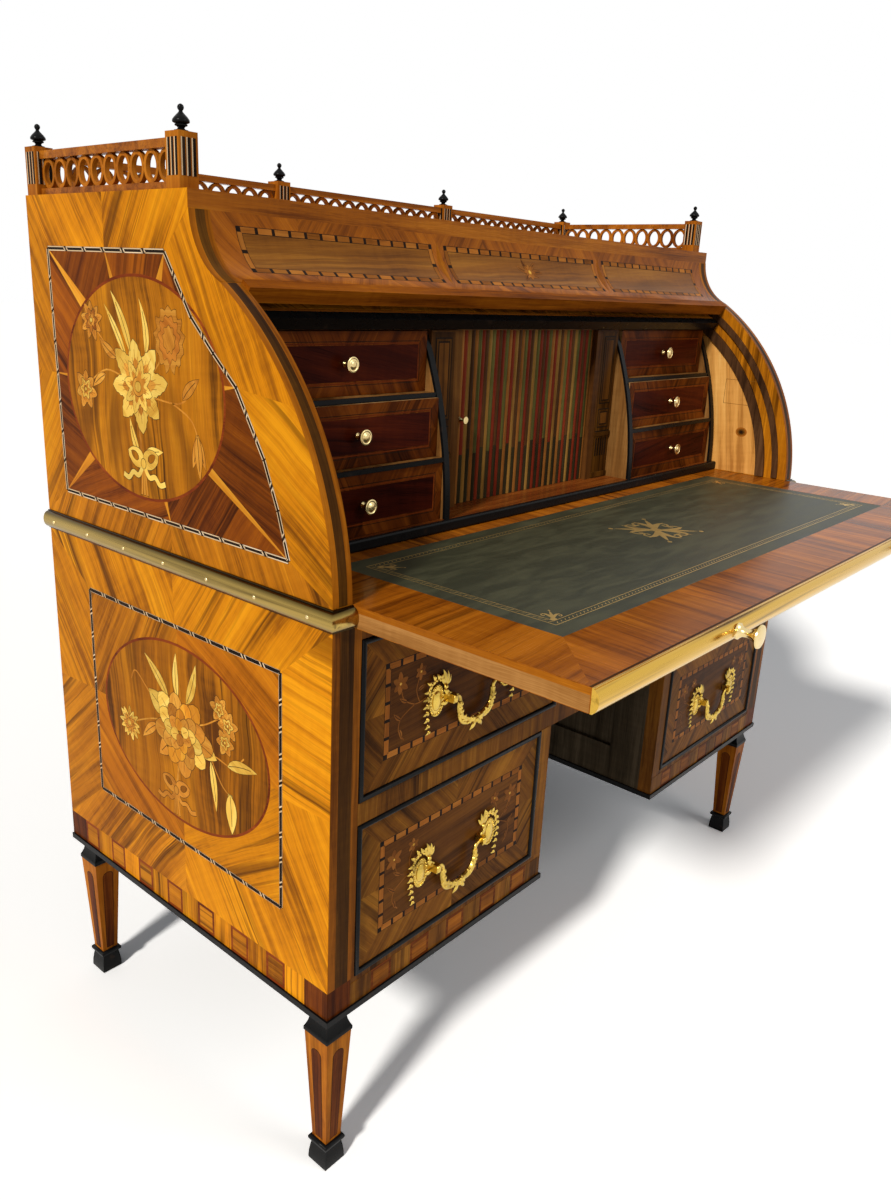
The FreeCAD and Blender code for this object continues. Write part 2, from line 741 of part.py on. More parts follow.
def fret(length, ovals, x, y, z, turn):
    """A pierced strip: one upright oval, repeated along its length."""
    body = doc.addObject("PartDesign::Body", "fret")
    outline = new_sketch(body, "XZ_Plane", "fret_outline")
    draw(outline, [("0", "0"), (length, "0"), (length, "fret_height"), ("0", "fret_height")])
    pad = body.newObject("PartDesign::Pad", "fret_pad")
    pad.Profile = outline
    pad.Midplane = True
    bind(pad, Length="fret_thick")
    doc.recompute()
    pitch = "(%s) / %d" % (length, ovals)
    hole = new_sketch(body, "XZ_Plane", "fret_oval")
    middle = FreeCAD.Vector(number(pitch) / 2, number("fret_height") / 2, 0)
    tall = FreeCAD.Vector(0, number("oval_height") / 2, 0)
    wide = FreeCAD.Vector(number("oval_width") / 2, 0, 0)
    oval = hole.addGeometry(Part.Ellipse(middle + tall, middle + wide, middle), False)
    hole.exposeInternalGeometry(oval)
    places = (("DistanceX", -1, 1, oval, 3, pitch + " / 2"), ("DistanceY", -1, 1, oval, 3, "fret_height / 2"),
              ("Distance", oval + 1, "oval_height"), ("Distance", oval + 2, "oval_width"))
    hole.addConstraint(Sketcher.Constraint("Vertical", oval + 1))
    for *words, text in places:
        index = hole.addConstraint(Sketcher.Constraint(*words, number(text)))
        hole.setExpression("Constraints[%d]" % index, full(text))
    pocket = body.newObject("PartDesign::Pocket", "fret_pocket")
    pocket.Profile = hole
    pocket.Type = "ThroughAll"
    pocket.Midplane = True
    row = body.newObject("PartDesign::LinearPattern", "fret_row")
    row.Originals = [pocket]
    row.Direction = (hole, ["H_Axis"])
    bind(row, Length="%s * %d" % (pitch, ovals - 1))
    row.Occurrences = ovals
    body.Tip = row
    return seat(body, x, y, z, turn)


def gallery():
    """Posts, finials, rails and pierced frets on three sides of the top."""
    left = "-half + gallery_inset"
    corners = [(x, y) for x in (left, "post_side") for y in ("post_front", "post_rear")]
    corners += [(sign + "post_middle - post_width / 2", "post_rear") for sign in ("-", "")]
    top = "case_top + post_height"
    outline = [("0", "0"), ("finial_foot", "0")]
    outline += [(radius, "finial_height * %g" % share) for radius, share in FINIAL_SHARES]
    outline.append(("0", "finial_height"))
    posts = []
    finials = []
    for x, y in corners:
        posts.append(board(x, x + " + post_width", y, y + " + post_width", "case_top", top))
        middle = (x + " + post_width / 2", y + " + post_width / 2")
        finials.append(turned("finial", outline, *middle, top, UPWARD))
    node("gallery_posts", posts)
    node("gallery_finials", finials)

    low = ("case_top", "case_top + gallery_low_rail")
    high = ("case_top + post_height - post_rise - gallery_top_rail", "case_top + post_height - post_rise")
    inset = "(post_width - gallery_rail_depth) / 2"
    side_x = ("post_side + " + inset, "post_side + post_width - " + inset)
    side_y = ("post_front + post_width", "post_rear")
    back_y = ("post_rear + " + inset, "post_rear + post_width - " + inset)
    rails = []
    for level in (low, high):
        rails += pair(*side_x, *side_y, *level)
        for start in BAY_STARTS:
            rails.append(board(start, start + " + back_bay", *back_y, *level))
    node("gallery_rails", rails)

    middle_x = "(post_side + post_width / 2)"
    level = low[1]
    quarter = FreeCAD.Rotation(ALONG_Z, 90)
    frets = [fret("side_bay", SIDE_OVALS, sign + middle_x, side_y[0], level, quarter) for sign in ("-", "")]
    middle_y = "post_rear + post_width / 2"
    frets += [fret("back_bay", BACK_OVALS, start, middle_y, level, None) for start in BAY_STARTS]
    node("gallery_fret", frets)


def writing_slide():
    """Board with its leather, brass edge and two pull knobs."""
    low = "slide_floor + slide_gap"
    back = "slide_front + slide_depth"
    blank = board("-slide_half", "slide_half", "slide_front", back, low, "slide_top")
    field = ("-leather_width / 2", "leather_width / 2", "slide_front + leather_front",
             "slide_front + leather_front + leather_depth", "slide_top - leather_thick")
    node("slide_board", cut(blank, board(*field, "slide_top + overrun")))
    node("slide_leather", board(*field, "slide_top"))
    bar = board("-slide_half", "slide_half", "slide_front - edge_bulge", "slide_front", low, "slide_top")
    node("slide_edge", nosed(bar, "edge_round"))
    knob = [
        ("0", "0"),
        ("knob_base", "0"),
        ("knob_base", "knob_length * %g" % KNOB_SHARES["foot"]),
        ("knob_neck", "knob_length * %g" % KNOB_SHARES["neck"]),
        ("knob_disc", "knob_length * %g" % KNOB_SHARES["flare"]),
        ("knob_disc", "knob_length"),
        ("0", "knob_length"),
    ]
    seats = ("slide_front - edge_bulge", "(slide_floor + desk_height) / 2")
    places = ("-knob_spacing / 2", "knob_spacing / 2")
    node("slide_knobs", [turned("pull", knob, x, *seats, FORWARD) for x in places])


def cylinder():
    """The curved fall, shown open, and its black bottom rail."""
    ends = ("-inner_half + shell_end_gap", "inner_half - shell_end_gap")
    radii = ("channel_inner + shell_gap", "channel_outer - shell_gap")
    seam = "open_angle + rail_span_angle"
    node("cylinder_shell", sector(*radii, seam, "shell_end_angle", *ends, "shell"))
    node("cylinder_rail", sector(*radii, "open_angle", seam, *ends, "rail"))


def nest_curve_at(height):
    """How far the nest's curved front has leaned back at a height above its floor."""
    return "(nest_curve - sqrt(nest_curve ^ 2 - (%s) ^ 2))" % height


def nest():
    """Base, curved dividers, shelves, pilasters, tambour and the small drawers."""
    end = "front + nest_end"
    node("nest_base", board("-inner_half", "inner_half", "nest_y", end, "desk_height", "nest_floor"))
    bar = board("-inner_half", "inner_half", "nest_y - nosing", "nest_y", "desk_height", "nest_floor")
    node("nest_nosing", nosed(bar, "nosing_round"))

    divider = [
        ("0", "0", "nest_curve", -1),
        ("nest_lean", "nest_height"),
        ("nest_depth - nest_edge", "nest_height"),
        ("nest_depth - nest_edge", "0"),
    ]
    strip = [
        ("0", "0", "nest_curve", -1),
        ("nest_lean", "nest_height"),
        ("nest_lean + nest_edge", "nest_height", "nest_curve", 1),
        ("nest_edge", "0"),
    ]
    inner_wall = "nest_inner + nest_board"
    outer_wall = "nest_half - nest_board"
    starts = ["-nest_half", minus(inner_wall), "nest_inner", outer_wall]
    boards = [sawn("divider", divider, "nest_board", x, "nest_y + nest_edge", "nest_floor") for x in starts]
    edges = [sawn("edging", strip, "nest_board", x, "nest_y", "nest_floor") for x in starts]
    for row in range(1, NEST_ROWS):
        low = "nest_floor + %d * nest_row + %d * nest_shelf" % (row, row - 1)
        high = low + " + nest_shelf"
        rim = "nest_y + " + nest_curve_at("%d * (nest_row + nest_shelf)" % row)
        boards += pair(inner_wall, outer_wall, rim + " + nest_edge", end, low, high)
        edges += pair(inner_wall, outer_wall, rim, rim + " + nest_edge", low, high)
    roof = "nest_floor + nest_height"
    lean = "nest_y + nest_lean"
    boards.append(board("-nest_half", "nest_half", lean, end, roof, roof + " + nest_top_thick"))
    boards.append(board("-nest_inner", "nest_inner", end + " - nest_board", end, "nest_floor", roof))
    node("nest_boards", boards)
    node("nest_edges", edges)

    pilaster = ("pilaster_y", "pilaster_y + pilaster_thick", "nest_floor", roof)
    node("pilasters", pair("nest_inner - pilaster_width", "nest_inner", *pilaster))

    slats = []
    step = "2 * tambour_half / %d" % SLATS
    for i in range(SLATS):
        left = "-tambour_half + %d * %s" % (i, step)
        slats.append(board(left, left + " + " + step, "tambour_y", "tambour_y + slat_thick",
                           "nest_floor + running_gap", roof + " - running_gap"))
    node("tambour_slats", slats)
    pull = [
        ("0", "0"),
        ("tambour_knob_radius", "0"),
        ("tambour_knob_radius * %g" % KNOB_SHARES["neck"], "tambour_knob_length / 2"),
        ("tambour_knob_radius", "tambour_knob_length"),
        ("0", "tambour_knob_length"),
    ]
    place = "-tambour_half + tambour_lap + tambour_knob_inset"
    node("tambour_knob", turned("pull", pull, place, "tambour_y", "nest_floor + nest_height / 2", FORWARD))
    small_drawers(inner_wall, outer_wall)


def small_drawers(inner_wall, outer_wall):
    """Three drawers in each bank; the fronts step back with the curve."""
    knob = [
        ("0", "0"),
        ("small_knob_foot", "0"),
        ("small_knob_neck", "small_knob_length * %g" % KNOB_SHARES["neck"]),
        ("small_knob_disc", "small_knob_length * %g" % KNOB_SHARES["flare"]),
        ("small_knob_disc", "small_knob_length"),
        ("0", "small_knob_length"),
    ]
    walls = ("small_front", "small_wall", "small_floor", "small_drop")
    banks = (("left", minus(outer_wall), minus(inner_wall)), ("right", inner_wall, outer_wall))
    for side, x0, x1 in banks:
        for row, level in enumerate(("low", "mid", "top")):
            floor = "nest_floor + %d * (nest_row + nest_shelf)" % row
            rise = "(%d + small_rise_share) * nest_row + %d * nest_shelf" % (row, row)
            face = "nest_y + nest_edge + small_set + " + nest_curve_at(rise)
            name = "small_%s_%s" % (side, level)
            node(name + "_drawer", drawer_box(
                x0 + " + small_gap", x1 + " - small_gap", face, "front + small_end",
                floor + " + running_gap", floor + " + nest_row - small_gap", *walls))
            middle = "((%s) + (%s)) / 2" % (x0, x1)
            node(name + "_knob", turned("knob", knob, middle, face, floor + " + nest_row / 2", FORWARD))


def check_and_write():
    """Refuses a broken object, then writes one file for each sub-part."""
    doc.recompute()
    for thing in doc.Objects:
        broken = {"Invalid", "Error"} & set(thing.State)
        if broken:
            raise RuntimeError("%s: %s" % (thing.Label, thing.State))
    for piece in NODES:
        if piece.Shape.isNull() or not piece.Shape.isValid():
            raise RuntimeError("bad shape: " + piece.Label)
        piece.Shape.exportStep("parts/%s.step" % piece.Label)


KNOWN = set(SIZES) | set(RULES)
fill_sheet()
lower_case()
drawer_beads()
large_drawers()
legs()
upper_case()
gallery()
writing_slide()
cylinder()
nest()
check_and_write()
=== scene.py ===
import math
import random

import bmesh
import bpy
from mathutils import Matrix, Vector


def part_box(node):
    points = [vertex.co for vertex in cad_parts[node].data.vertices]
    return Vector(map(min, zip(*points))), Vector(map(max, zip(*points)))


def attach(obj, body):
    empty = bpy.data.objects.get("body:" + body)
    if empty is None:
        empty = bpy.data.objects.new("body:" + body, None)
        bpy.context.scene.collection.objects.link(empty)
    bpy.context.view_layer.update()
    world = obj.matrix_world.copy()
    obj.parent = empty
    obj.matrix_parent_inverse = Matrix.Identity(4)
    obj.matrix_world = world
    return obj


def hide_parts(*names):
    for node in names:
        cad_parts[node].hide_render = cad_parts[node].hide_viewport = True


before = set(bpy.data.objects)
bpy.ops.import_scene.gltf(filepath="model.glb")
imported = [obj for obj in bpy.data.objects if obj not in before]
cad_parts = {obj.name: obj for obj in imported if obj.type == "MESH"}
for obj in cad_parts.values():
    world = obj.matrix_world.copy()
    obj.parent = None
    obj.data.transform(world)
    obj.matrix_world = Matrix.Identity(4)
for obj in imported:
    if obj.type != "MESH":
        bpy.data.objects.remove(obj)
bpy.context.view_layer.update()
chance = random.Random(11)

# Main places: metres for the frame, millimetres along and up each face
MM = 0.001
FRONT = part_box("front_frame")[0].y
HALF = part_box("front_frame")[1].x
HALF_MM = HALF / MM
DEPTH = 572
BASE = 244
BAND_TOP = 282
WAIST = 726
TOP_LOW = 1134
TOP = 1153
INNER = 561
FALL = 377.9
AXIS = 742
COVE = 84.75
COVE_Y = 143.4
COVE_Z = 1139.8
COVE_START = math.radians(-67.4)
COVE_LENGTH = 93.9
LEGS = [(x, y) for x in (-562, 562) for y in (26, 546)]
POSTS = [(x, y) for x in (-574, 574) for y in (256, 558)] + [(-191, 558), (191, 558)]
OPENINGS = {"lower_left": (-546, 282, -190, 485), "lower_right": (190, 282, 546, 485),
            "upper_left": (-546, 513, -160, 709), "upper_right": (160, 513, 546, 709),
            "middle": (-140, 513, 140, 709)}


class Wire:
    """A shader socket that takes arithmetic."""

    def __init__(self, tree, socket):
        self.tree = tree
        self.socket = socket

    def maths(self, operation, *others):
        return node(self.tree, "Math", {"operation": operation}, dict(enumerate((self, *others))))

    def __add__(self, other):
        return self.maths("ADD", other)

    def __sub__(self, other):
        return self.maths("SUBTRACT", other)

    def __rsub__(self, other):
        return self * -1 + other

    def __mul__(self, other):
        return self.maths("MULTIPLY", other)

    __radd__ = __add__
    __rmul__ = __mul__

    def between(self, low, high):
        """Smooth rise from 0 at low to 1 at high."""
        sockets = {"Value": self, "From Min": low, "From Max": high}
        return node(self.tree, "MapRange", {"interpolation_type": "SMOOTHSTEP"}, sockets)


def node(tree, kind, settings, sockets, output=0):
    """One shader node: its settings first, then its sockets' values or links. Gives one output or several."""
    made = tree.nodes.new("ShaderNode" + kind)
    for name, value in settings.items():
        setattr(made, name, value)
    for name, value in sockets.items():
        feed(tree, made.inputs[name], value)
    if isinstance(output, tuple):
        return [Wire(tree, made.outputs[name]) for name in output]
    return Wire(tree, made.outputs[output])


def feed(tree, place, value):
    """Links a wire to a socket, or sets a plain value."""
    if isinstance(value, Wire):
        tree.links.new(value.socket, place)
    elif place.type == "RGBA":
        place.default_value = (*value, 1)
    else:
        place.default_value = value


def noise(tree, ways, detail=2, distortion=0, shift=0):
    vector = node(tree, "CombineXYZ", {}, {k: way + shift for k, way in enumerate(ways)})
    sockets = {"Vector": vector, "Scale": 1, "Detail": detail, "Distortion": distortion}
    return node(tree, "TexNoise", {}, sockets)


def blend(tree, factor, first, second, mode="MIX"):
    settings = {"data_type": "RGBA", "blend_type": mode}
    return node(tree, "Mix", settings, {0: factor, 6: first, 7: second}, 2)


def attribute(tree, name):
    return node(tree, "Attribute", {"attribute_name": name}, {}, "Fac")


def bump(tree, height, strength, distance):
    return node(tree, "Bump", {}, {"Strength": strength, "Distance": distance, "Height": height})


def new_material(name, **values):
    """A material with its shader's plain values set by name, spaces as underscores."""
    material = bpy.data.materials.new(name)
    material.use_nodes = True
    tree = material.node_tree
    shader = tree.nodes["Principled BSDF"]
    for word, value in values.items():
        feed(tree, shader.inputs[word.replace("_", " ")], value)
    return material, tree, shader


def split_ways(tree, vector):
    return node(tree, "SeparateXYZ", {}, {0: vector}, (0, 1, 2))


def object_ways(tree):
    return split_ways(tree, node(tree, "TexCoord", {}, {}, "Object"))


def grain_ways(tree, axis):
    """Ways along and across the grain: from a plate's own map, or along an axis of the object."""
    if axis:
        ways = object_ways(tree)
        turn = "XYZ".index(axis)
        return ways[turn:] + ways[:turn]
    return split_ways(tree, node(tree, "UVMap", {"uv_map": "grain"}, {}))


def wood(name, dark, middle, light, axis=None, veins=0.6, gloss=0.28, coat=0.004, shine=0.02, sway=0.012,
         cloud=0.0):
    """Polished wood: swaying streaks in bundles, dark veins, fine pores, a cross ripple and dark clouds."""
    material, tree, shader = new_material(name, Coat_Weight=coat, Coat_Roughness=0.08,
                                          Specular_IOR_Level=shine)
    along, across, deep = grain_ways(tree, axis)
    across = across + (noise(tree, (along * 7, across * 6, deep * 6), 2, 0, 3.3) - 0.5) * sway
    streaks = noise(tree, (along * 3, across * 85, deep * 85), 4, 0.5)
    pores = noise(tree, (along * 30, across * 900, deep * 900), 2)
    broad = noise(tree, (along * 4, across * 13, deep * 13), 2, 0, 4.7)
    figure = noise(tree, (along * 120, across * 16, deep * 16), 1, 0, 9.1)
    tone = streaks * 0.4 + broad * 0.4 + pores * 0.2 + (figure - 0.5) * 0.06
    colour = blend(tree, tone.between(0.36, 0.5), dark, middle)
    colour = blend(tree, tone.between(0.48, 0.62), colour, light)
    lines = noise(tree, (along * 1.6, across * 60, deep * 60), 3, 0.6, 2.3).between(0.52, 0.6)
    threads = noise(tree, (along * 2.4, across * 190, deep * 190), 3, 0.4, 7.7).between(0.52, 0.62)
    bundles = noise(tree, (along * 2.2, across * 17, deep * 17), 1, 0.4, 6.1).between(0.42, 0.62)
    deep_tone = [value * 0.4 for value in dark]
    colour = blend(tree, (lines * 0.7 + threads * 0.5) * bundles * veins, colour, deep_tone)
    colour = blend(tree, threads * (veins * 0.22), colour, dark)
    if cloud:
        patches = noise(tree, (along * 5, across * 14, deep * 14), 3, 0.6, 5.9)
        colour = blend(tree, patches.between(0.48, 0.68) * cloud, colour, dark)
    colour = blend(tree, 1.0, colour, 1 + attribute(tree, "tone"), "MULTIPLY")
    feed(tree, shader.inputs["Base Color"], colour)
    feed(tree, shader.inputs["Roughness"], pores * 0.16 + broad * 0.1 + (gloss - 0.1))
    feed(tree, shader.inputs["Normal"], bump(tree, pores + streaks * 0.5, 0.12, 0.0003))
    return material


def metal(name, colour, tarnish_and_dark_reflection, rough, depth=0.0, run=(45, 45, 45), band=None):
    """Polished metal, chased if it has depth; a dark colour in patches (tarnish), in lines along a stretched
    run, and along the edges of a band that lies between two heights. The lines and the band's dark edges are
    partly tarnish and partly painted dark reflection."""
    material, tree, shader = new_material(name, Metallic=1.0)
    ways = object_ways(tree)
    # A stretched run draws the dark patches out into lines along the moulding: partly tarnish, partly painted
    # dark reflection.
    patches = noise(tree, [way * scale for way, scale in zip(ways, run)], 4, 0.5)
    scratches = noise(tree, [way * 900 for way in ways], 2)
    worn = patches.between(0.45, 0.85)
    # Painted dark reflection, partly tarnish: the band's top and bottom edges are darkened.
    if band:
        half = (band[1] - band[0]) / 2
        worn = worn.maths("MAXIMUM", (ways[2] - band[0] - half).maths("ABSOLUTE").between(half * 0.2, half))
    feed(tree, shader.inputs["Base Color"], blend(tree, worn, colour, tarnish_and_dark_reflection))
    feed(tree, shader.inputs["Roughness"], patches * 0.2 + scratches * 0.08 + rough)
    height = noise(tree, [way * 420 for way in ways], 2) * depth + scratches * 0.1
    feed(tree, shader.inputs["Normal"], bump(tree, height, 0.3, 0.0006))
    return material


def paint_black(name):
    material, tree, shader = new_material(name, Specular_IOR_Level=0.08)
    ways = object_ways(tree)
    worn = noise(tree, [way * 60 for way in ways], 4, 0.4)
    fine = noise(tree, [way * 700 for way in ways], 2)
    colour = blend(tree, worn.between(0.62, 0.8), (0.004, 0.004, 0.004), (0.024, 0.014, 0.009))
    feed(tree, shader.inputs["Base Color"], colour)
    feed(tree, shader.inputs["Roughness"], worn * 0.25 + fine * 0.1 + 0.12)
    feed(tree, shader.inputs["Normal"], bump(tree, fine, 0.08, 0.0003))
    return material


def hide(name):
    """Dark green leather with a fine pebble and faint rubbed patches."""
    material, tree, shader = new_material(name, Specular_IOR_Level=0.3)
    ways = object_ways(tree)
    pebble = noise(tree, [way * 1300 for way in ways], 3, 0.3)
    rubbed = noise(tree, (ways[0] * 14, ways[1] * 60, ways[2]), 4, 0.6)
    colour = blend(tree, rubbed.between(0.35, 0.72), (0.022, 0.024, 0.011), (0.050, 0.050, 0.024))
    feed(tree, shader.inputs["Base Color"], colour)
    feed(tree, shader.inputs["Roughness"], rubbed * 0.15 + pebble * 0.15 + 0.34)
    feed(tree, shader.inputs["Normal"], bump(tree, pebble, 0.25, 0.0004))
    return material


def woods(table, axis=None, **rest):
    """One wood for each row of name, dark, middle and light colour and depth of its veins."""
    made = []
    for name, dark, middle, light, veins in table:
        made.append(wood(name, dark, middle, light, axis, veins, **rest))
    return made


# Woods of the plates, grain from each plate's own map
GOLD, HONEY, AMBER, RED, BLAZE, WALNUT, CROSS, BURR, EDGE, DARK, MAHOGANY, FLAME, CHERRY, BRICK = woods([
    ("gold_veneer", (0.27, 0.080, 0.003), (0.60, 0.205, 0.004), (0.76, 0.300, 0.007), 0.9),
    ("honey_veneer", (0.19, 0.055, 0.003), (0.44, 0.142, 0.005), (0.60, 0.215, 0.008), 0.95),
    ("amber_veneer", (0.21, 0.055, 0.002), (0.45, 0.130, 0.004), (0.60, 0.200, 0.006), 0.5),
    ("red_veneer", (0.090, 0.018, 0.002), (0.21, 0.048, 0.003), (0.33, 0.085, 0.004), 0.8),
    ("sapwood", (0.42, 0.13, 0.010), (0.62, 0.23, 0.015), (0.75, 0.34, 0.030), 0.1),
    ("walnut_veneer", (0.075, 0.025, 0.004), (0.185, 0.066, 0.008), (0.31, 0.125, 0.014), 0.9),
    ("cross_veneer", (0.12, 0.034, 0.004), (0.27, 0.082, 0.007), (0.40, 0.135, 0.012), 0.6),
    ("burr_veneer", (0.045, 0.015, 0.004), (0.110, 0.038, 0.007), (0.17, 0.062, 0.010), 0.8),
    ("edge_band", (0.14, 0.036, 0.003), (0.30, 0.088, 0.005), (0.44, 0.145, 0.009), 0.5),
    ("dark_band", (0.026, 0.009, 0.002), (0.065, 0.024, 0.004), (0.12, 0.046, 0.006), 0.7),
    ("mahogany_veneer", (0.045, 0.009, 0.002), (0.120, 0.026, 0.003), (0.20, 0.050, 0.005), 0.9),
    ("flame_mahogany", (0.018, 0.002, 0.001), (0.050, 0.006, 0.002), (0.090, 0.013, 0.003), 0.6),
    ("cherry_band", (0.08, 0.012, 0.003), (0.19, 0.032, 0.005), (0.28, 0.055, 0.007), 0.3),
    ("brick_inlay", (0.18, 0.056, 0.009), (0.32, 0.106, 0.016), (0.42, 0.158, 0.027), 0.1),
])
PALE, TAN, RUST, LINE, WHITE, GREY = woods([
    ("pale_inlay", (0.55, 0.27, 0.030), (0.74, 0.44, 0.070), (0.84, 0.58, 0.130), 0.05),
    ("tan_inlay", (0.36, 0.12, 0.012), (0.55, 0.21, 0.022), (0.68, 0.32, 0.045), 0.1),
    ("rust_inlay", (0.20, 0.05, 0.006), (0.36, 0.11, 0.012), (0.48, 0.17, 0.020), 0.1),
    ("black_line", (0.006, 0.004, 0.003), (0.014, 0.008, 0.005), (0.026, 0.014, 0.008), 0.0),
    ("white_line", (0.50, 0.33, 0.17), (0.68, 0.49, 0.29), (0.78, 0.61, 0.41), 0.0),
    ("drawer_spray", (0.13, 0.042, 0.008), (0.22, 0.074, 0.013), (0.30, 0.110, 0.020), 0.0),
])
OVAL, OVAL_BROWN = woods([
    ("oval_gold", (0.11, 0.032, 0.002), (0.42, 0.140, 0.005), (0.58, 0.215, 0.008), 0.8),
    ("oval_brown", (0.10, 0.029, 0.002), (0.33, 0.105, 0.004), (0.47, 0.165, 0.006), 0.8),
], sway=0.035, cloud=0.7)
SIDE, RAW = woods([
    ("light_walnut", (0.44, 0.180, 0.034), (0.74, 0.345, 0.078), (0.88, 0.48, 0.135), 0.4),
    ("raw_edge", (0.15, 0.058, 0.013), (0.32, 0.135, 0.032), (0.46, 0.215, 0.060), 0.5),
], gloss=0.5, coat=0)
POLISH, COVE_GROUND, COVE_FIELD = woods([
    ("slide_veneer", (0.13, 0.030, 0.002), (0.32, 0.085, 0.004), (0.50, 0.150, 0.008), 0.7),
    ("cove_veneer", (0.15, 0.038, 0.003), (0.31, 0.085, 0.005), (0.44, 0.135, 0.008), 0.5),
    ("cove_field", (0.12, 0.038, 0.004), (0.23, 0.080, 0.008), (0.32, 0.125, 0.014), 0.6),
], gloss=0.2, coat=0.022, shine=0.05)
SLATS = woods([
    ("slat_red", (0.08, 0.010, 0.005), (0.17, 0.020, 0.008), (0.25, 0.038, 0.012), 0.5),
    ("slat_green", (0.04, 0.036, 0.010), (0.095, 0.085, 0.020), (0.16, 0.140, 0.034), 0.5),
    ("slat_ochre", (0.14, 0.060, 0.012), (0.27, 0.130, 0.026), (0.38, 0.200, 0.044), 0.5),
    ("slat_brown", (0.03, 0.012, 0.004), (0.075, 0.030, 0.009), (0.12, 0.052, 0.015), 0.5),
    ("slat_tan", (0.15, 0.050, 0.010), (0.27, 0.098, 0.019), (0.37, 0.150, 0.032), 0.5),
    ("slat_dark", (0.012, 0.009, 0.004), (0.030, 0.022, 0.009), (0.05, 0.036, 0.015), 0.2),
], "Z")
TOOLING = metal("gold_tooling", (0.62, 0.42, 0.14), (0.36, 0.22, 0.07), 0.3)
# Slide-edge brass: its near-black lines along the moulding are partly tarnish, partly painted dark
# reflection.
BRASS = metal("brass", (0.66, 0.40, 0.06), (0.05, 0.018, 0.003), 0.06, run=(2.5, 130, 130))
# Waist brass: a darker copy of the brass, near-black in lines along the band and at its top and bottom edges;
# partly tarnish, partly painted dark reflection.
WAIST_BRASS = metal("waist_brass", (0.43, 0.29, 0.075), (0.028, 0.017, 0.005), 0.08, run=(130, 2.5, 130),
                    band=[corner.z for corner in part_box("waist_bands")])
BRIGHT = metal("bright_brass", (0.76, 0.59, 0.28), (0.54, 0.38, 0.14), 0.08)
GILT = metal("gilt", (0.64, 0.44, 0.085), (0.14, 0.080, 0.010), 0.15, 0.8)
EBONY = paint_black("ebonised")
LEATHER = hide("green_leather")

# Woods of the frame's own pieces, grain along an axis
GOLD_Z, BROWN_Z, AMBER_Z, NEST_Z, PANEL_Z, GUIDE_Z = woods([
    ("gold_z", (0.20, 0.060, 0.004), (0.44, 0.145, 0.005), (0.60, 0.215, 0.009), 0.8),
    ("brown_z", (0.065, 0.022, 0.005), (0.150, 0.052, 0.008), (0.24, 0.090, 0.013), 0.8),
    ("amber_z", (0.17, 0.042, 0.004), (0.36, 0.105, 0.007), (0.50, 0.165, 0.012), 0.5),
    ("nest_z", (0.10, 0.040, 0.010), (0.21, 0.090, 0.022), (0.31, 0.150, 0.042), 0.5),
    ("panel_z", (0.05, 0.017, 0.005), (0.11, 0.040, 0.009), (0.17, 0.068, 0.014), 0.5),
    ("guide_z", (0.030, 0.013, 0.006), (0.080, 0.034, 0.013), (0.14, 0.065, 0.026), 0.5),
], "Z")
AMBER_X, MAHOGANY_X = woods([
    ("amber_x", (0.15, 0.038, 0.004), (0.33, 0.095, 0.007), (0.47, 0.155, 0.012), 0.5),
    ("mahogany_x", (0.060, 0.012, 0.003), (0.15, 0.034, 0.005), (0.24, 0.064, 0.009), 0.5),
], "X", gloss=0.22, coat=0.015, shine=0.05)
CHERRY_X, = woods([("cherry_x", (0.10, 0.022, 0.002), (0.25, 0.066, 0.004), (0.40, 0.122, 0.007), 0.7)], "X",
                  gloss=0.35, coat=0, shine=0.01)
DRAWER_Y, = woods([("drawer_y", (0.16, 0.075, 0.026), (0.32, 0.170, 0.065), (0.44, 0.260, 0.110), 0.4)], "Y",
                  gloss=0.6, coat=0)
DEAL = [("deal", (0.020, 0.014, 0.008), (0.050, 0.036, 0.021), (0.09, 0.066, 0.040), 0.4)]
DEAL_Y, DEAL_Z = [woods(DEAL, axis, gloss=0.6, coat=0)[0] for axis in "YZ"]


def paint_frame():
    """Gives each piece of the frame its finish."""
    finishes = {
        GOLD_Z: ["lower_sides", "upper_sides"],
        BROWN_Z: ["front_frame"],
        AMBER_X: ["top_board", "cavetto_frieze", "gallery_rails", "cylinder_shell", "slide_board"],
        AMBER_Z: ["legs", "gallery_posts", "gallery_fret"],
        CHERRY_X: ["cavetto_lip"],
        MAHOGANY_X: ["nest_base"],
        PANEL_Z: ["pilasters"],
        NEST_Z: ["nest_boards"],
        GUIDE_Z: ["guide_strips"],
        DEAL_Z: ["pedestal_inner_sides", "back_boards"],
        DEAL_Y: ["inner_boards"],
        EBONY: ["base_plates", "nest_nosing", "nest_edges", "cylinder_rail"],
        LEATHER: ["slide_leather"],
    }
    chosen = {node: material for material, nodes in finishes.items() for node in nodes}
    for name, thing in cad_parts.items():
        material = chosen.get(name, DRAWER_Y)
        if name.endswith("_knob"):
            material = BRIGHT
        if name.endswith(("_bail", "_rosettes")):
            material = GILT
        for place in thing.material_slots:
            place.material = material


def put(name, mesh, body, slot, materials, smooth=None, outward=False):
    """Makes a finished piece of a mesh, turned outwards unless it is already, and rides it on a body."""
    if not outward:
        bmesh.ops.recalc_face_normals(mesh, faces=mesh.faces)
    data = bpy.data.meshes.new(name)
    mesh.to_mesh(data)
    mesh.free()
    for material in materials:
        data.materials.append(material)
    if smooth:
        data.shade_smooth()
        data.set_sharp_from_angle(angle=math.radians(smooth))
    thing = bpy.data.objects.new(name, data)
    bpy.context.scene.collection.objects.link(thing)
    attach(thing, body)
    return thing


def raised(mesh, faces):
    """Extrudes faces and gives the vertices of their upper copies, still to be moved."""
    made = bmesh.ops.extrude_face_region(mesh, geom=faces)["geom"]
    return [item for item in made if isinstance(item, bmesh.types.BMVert)]


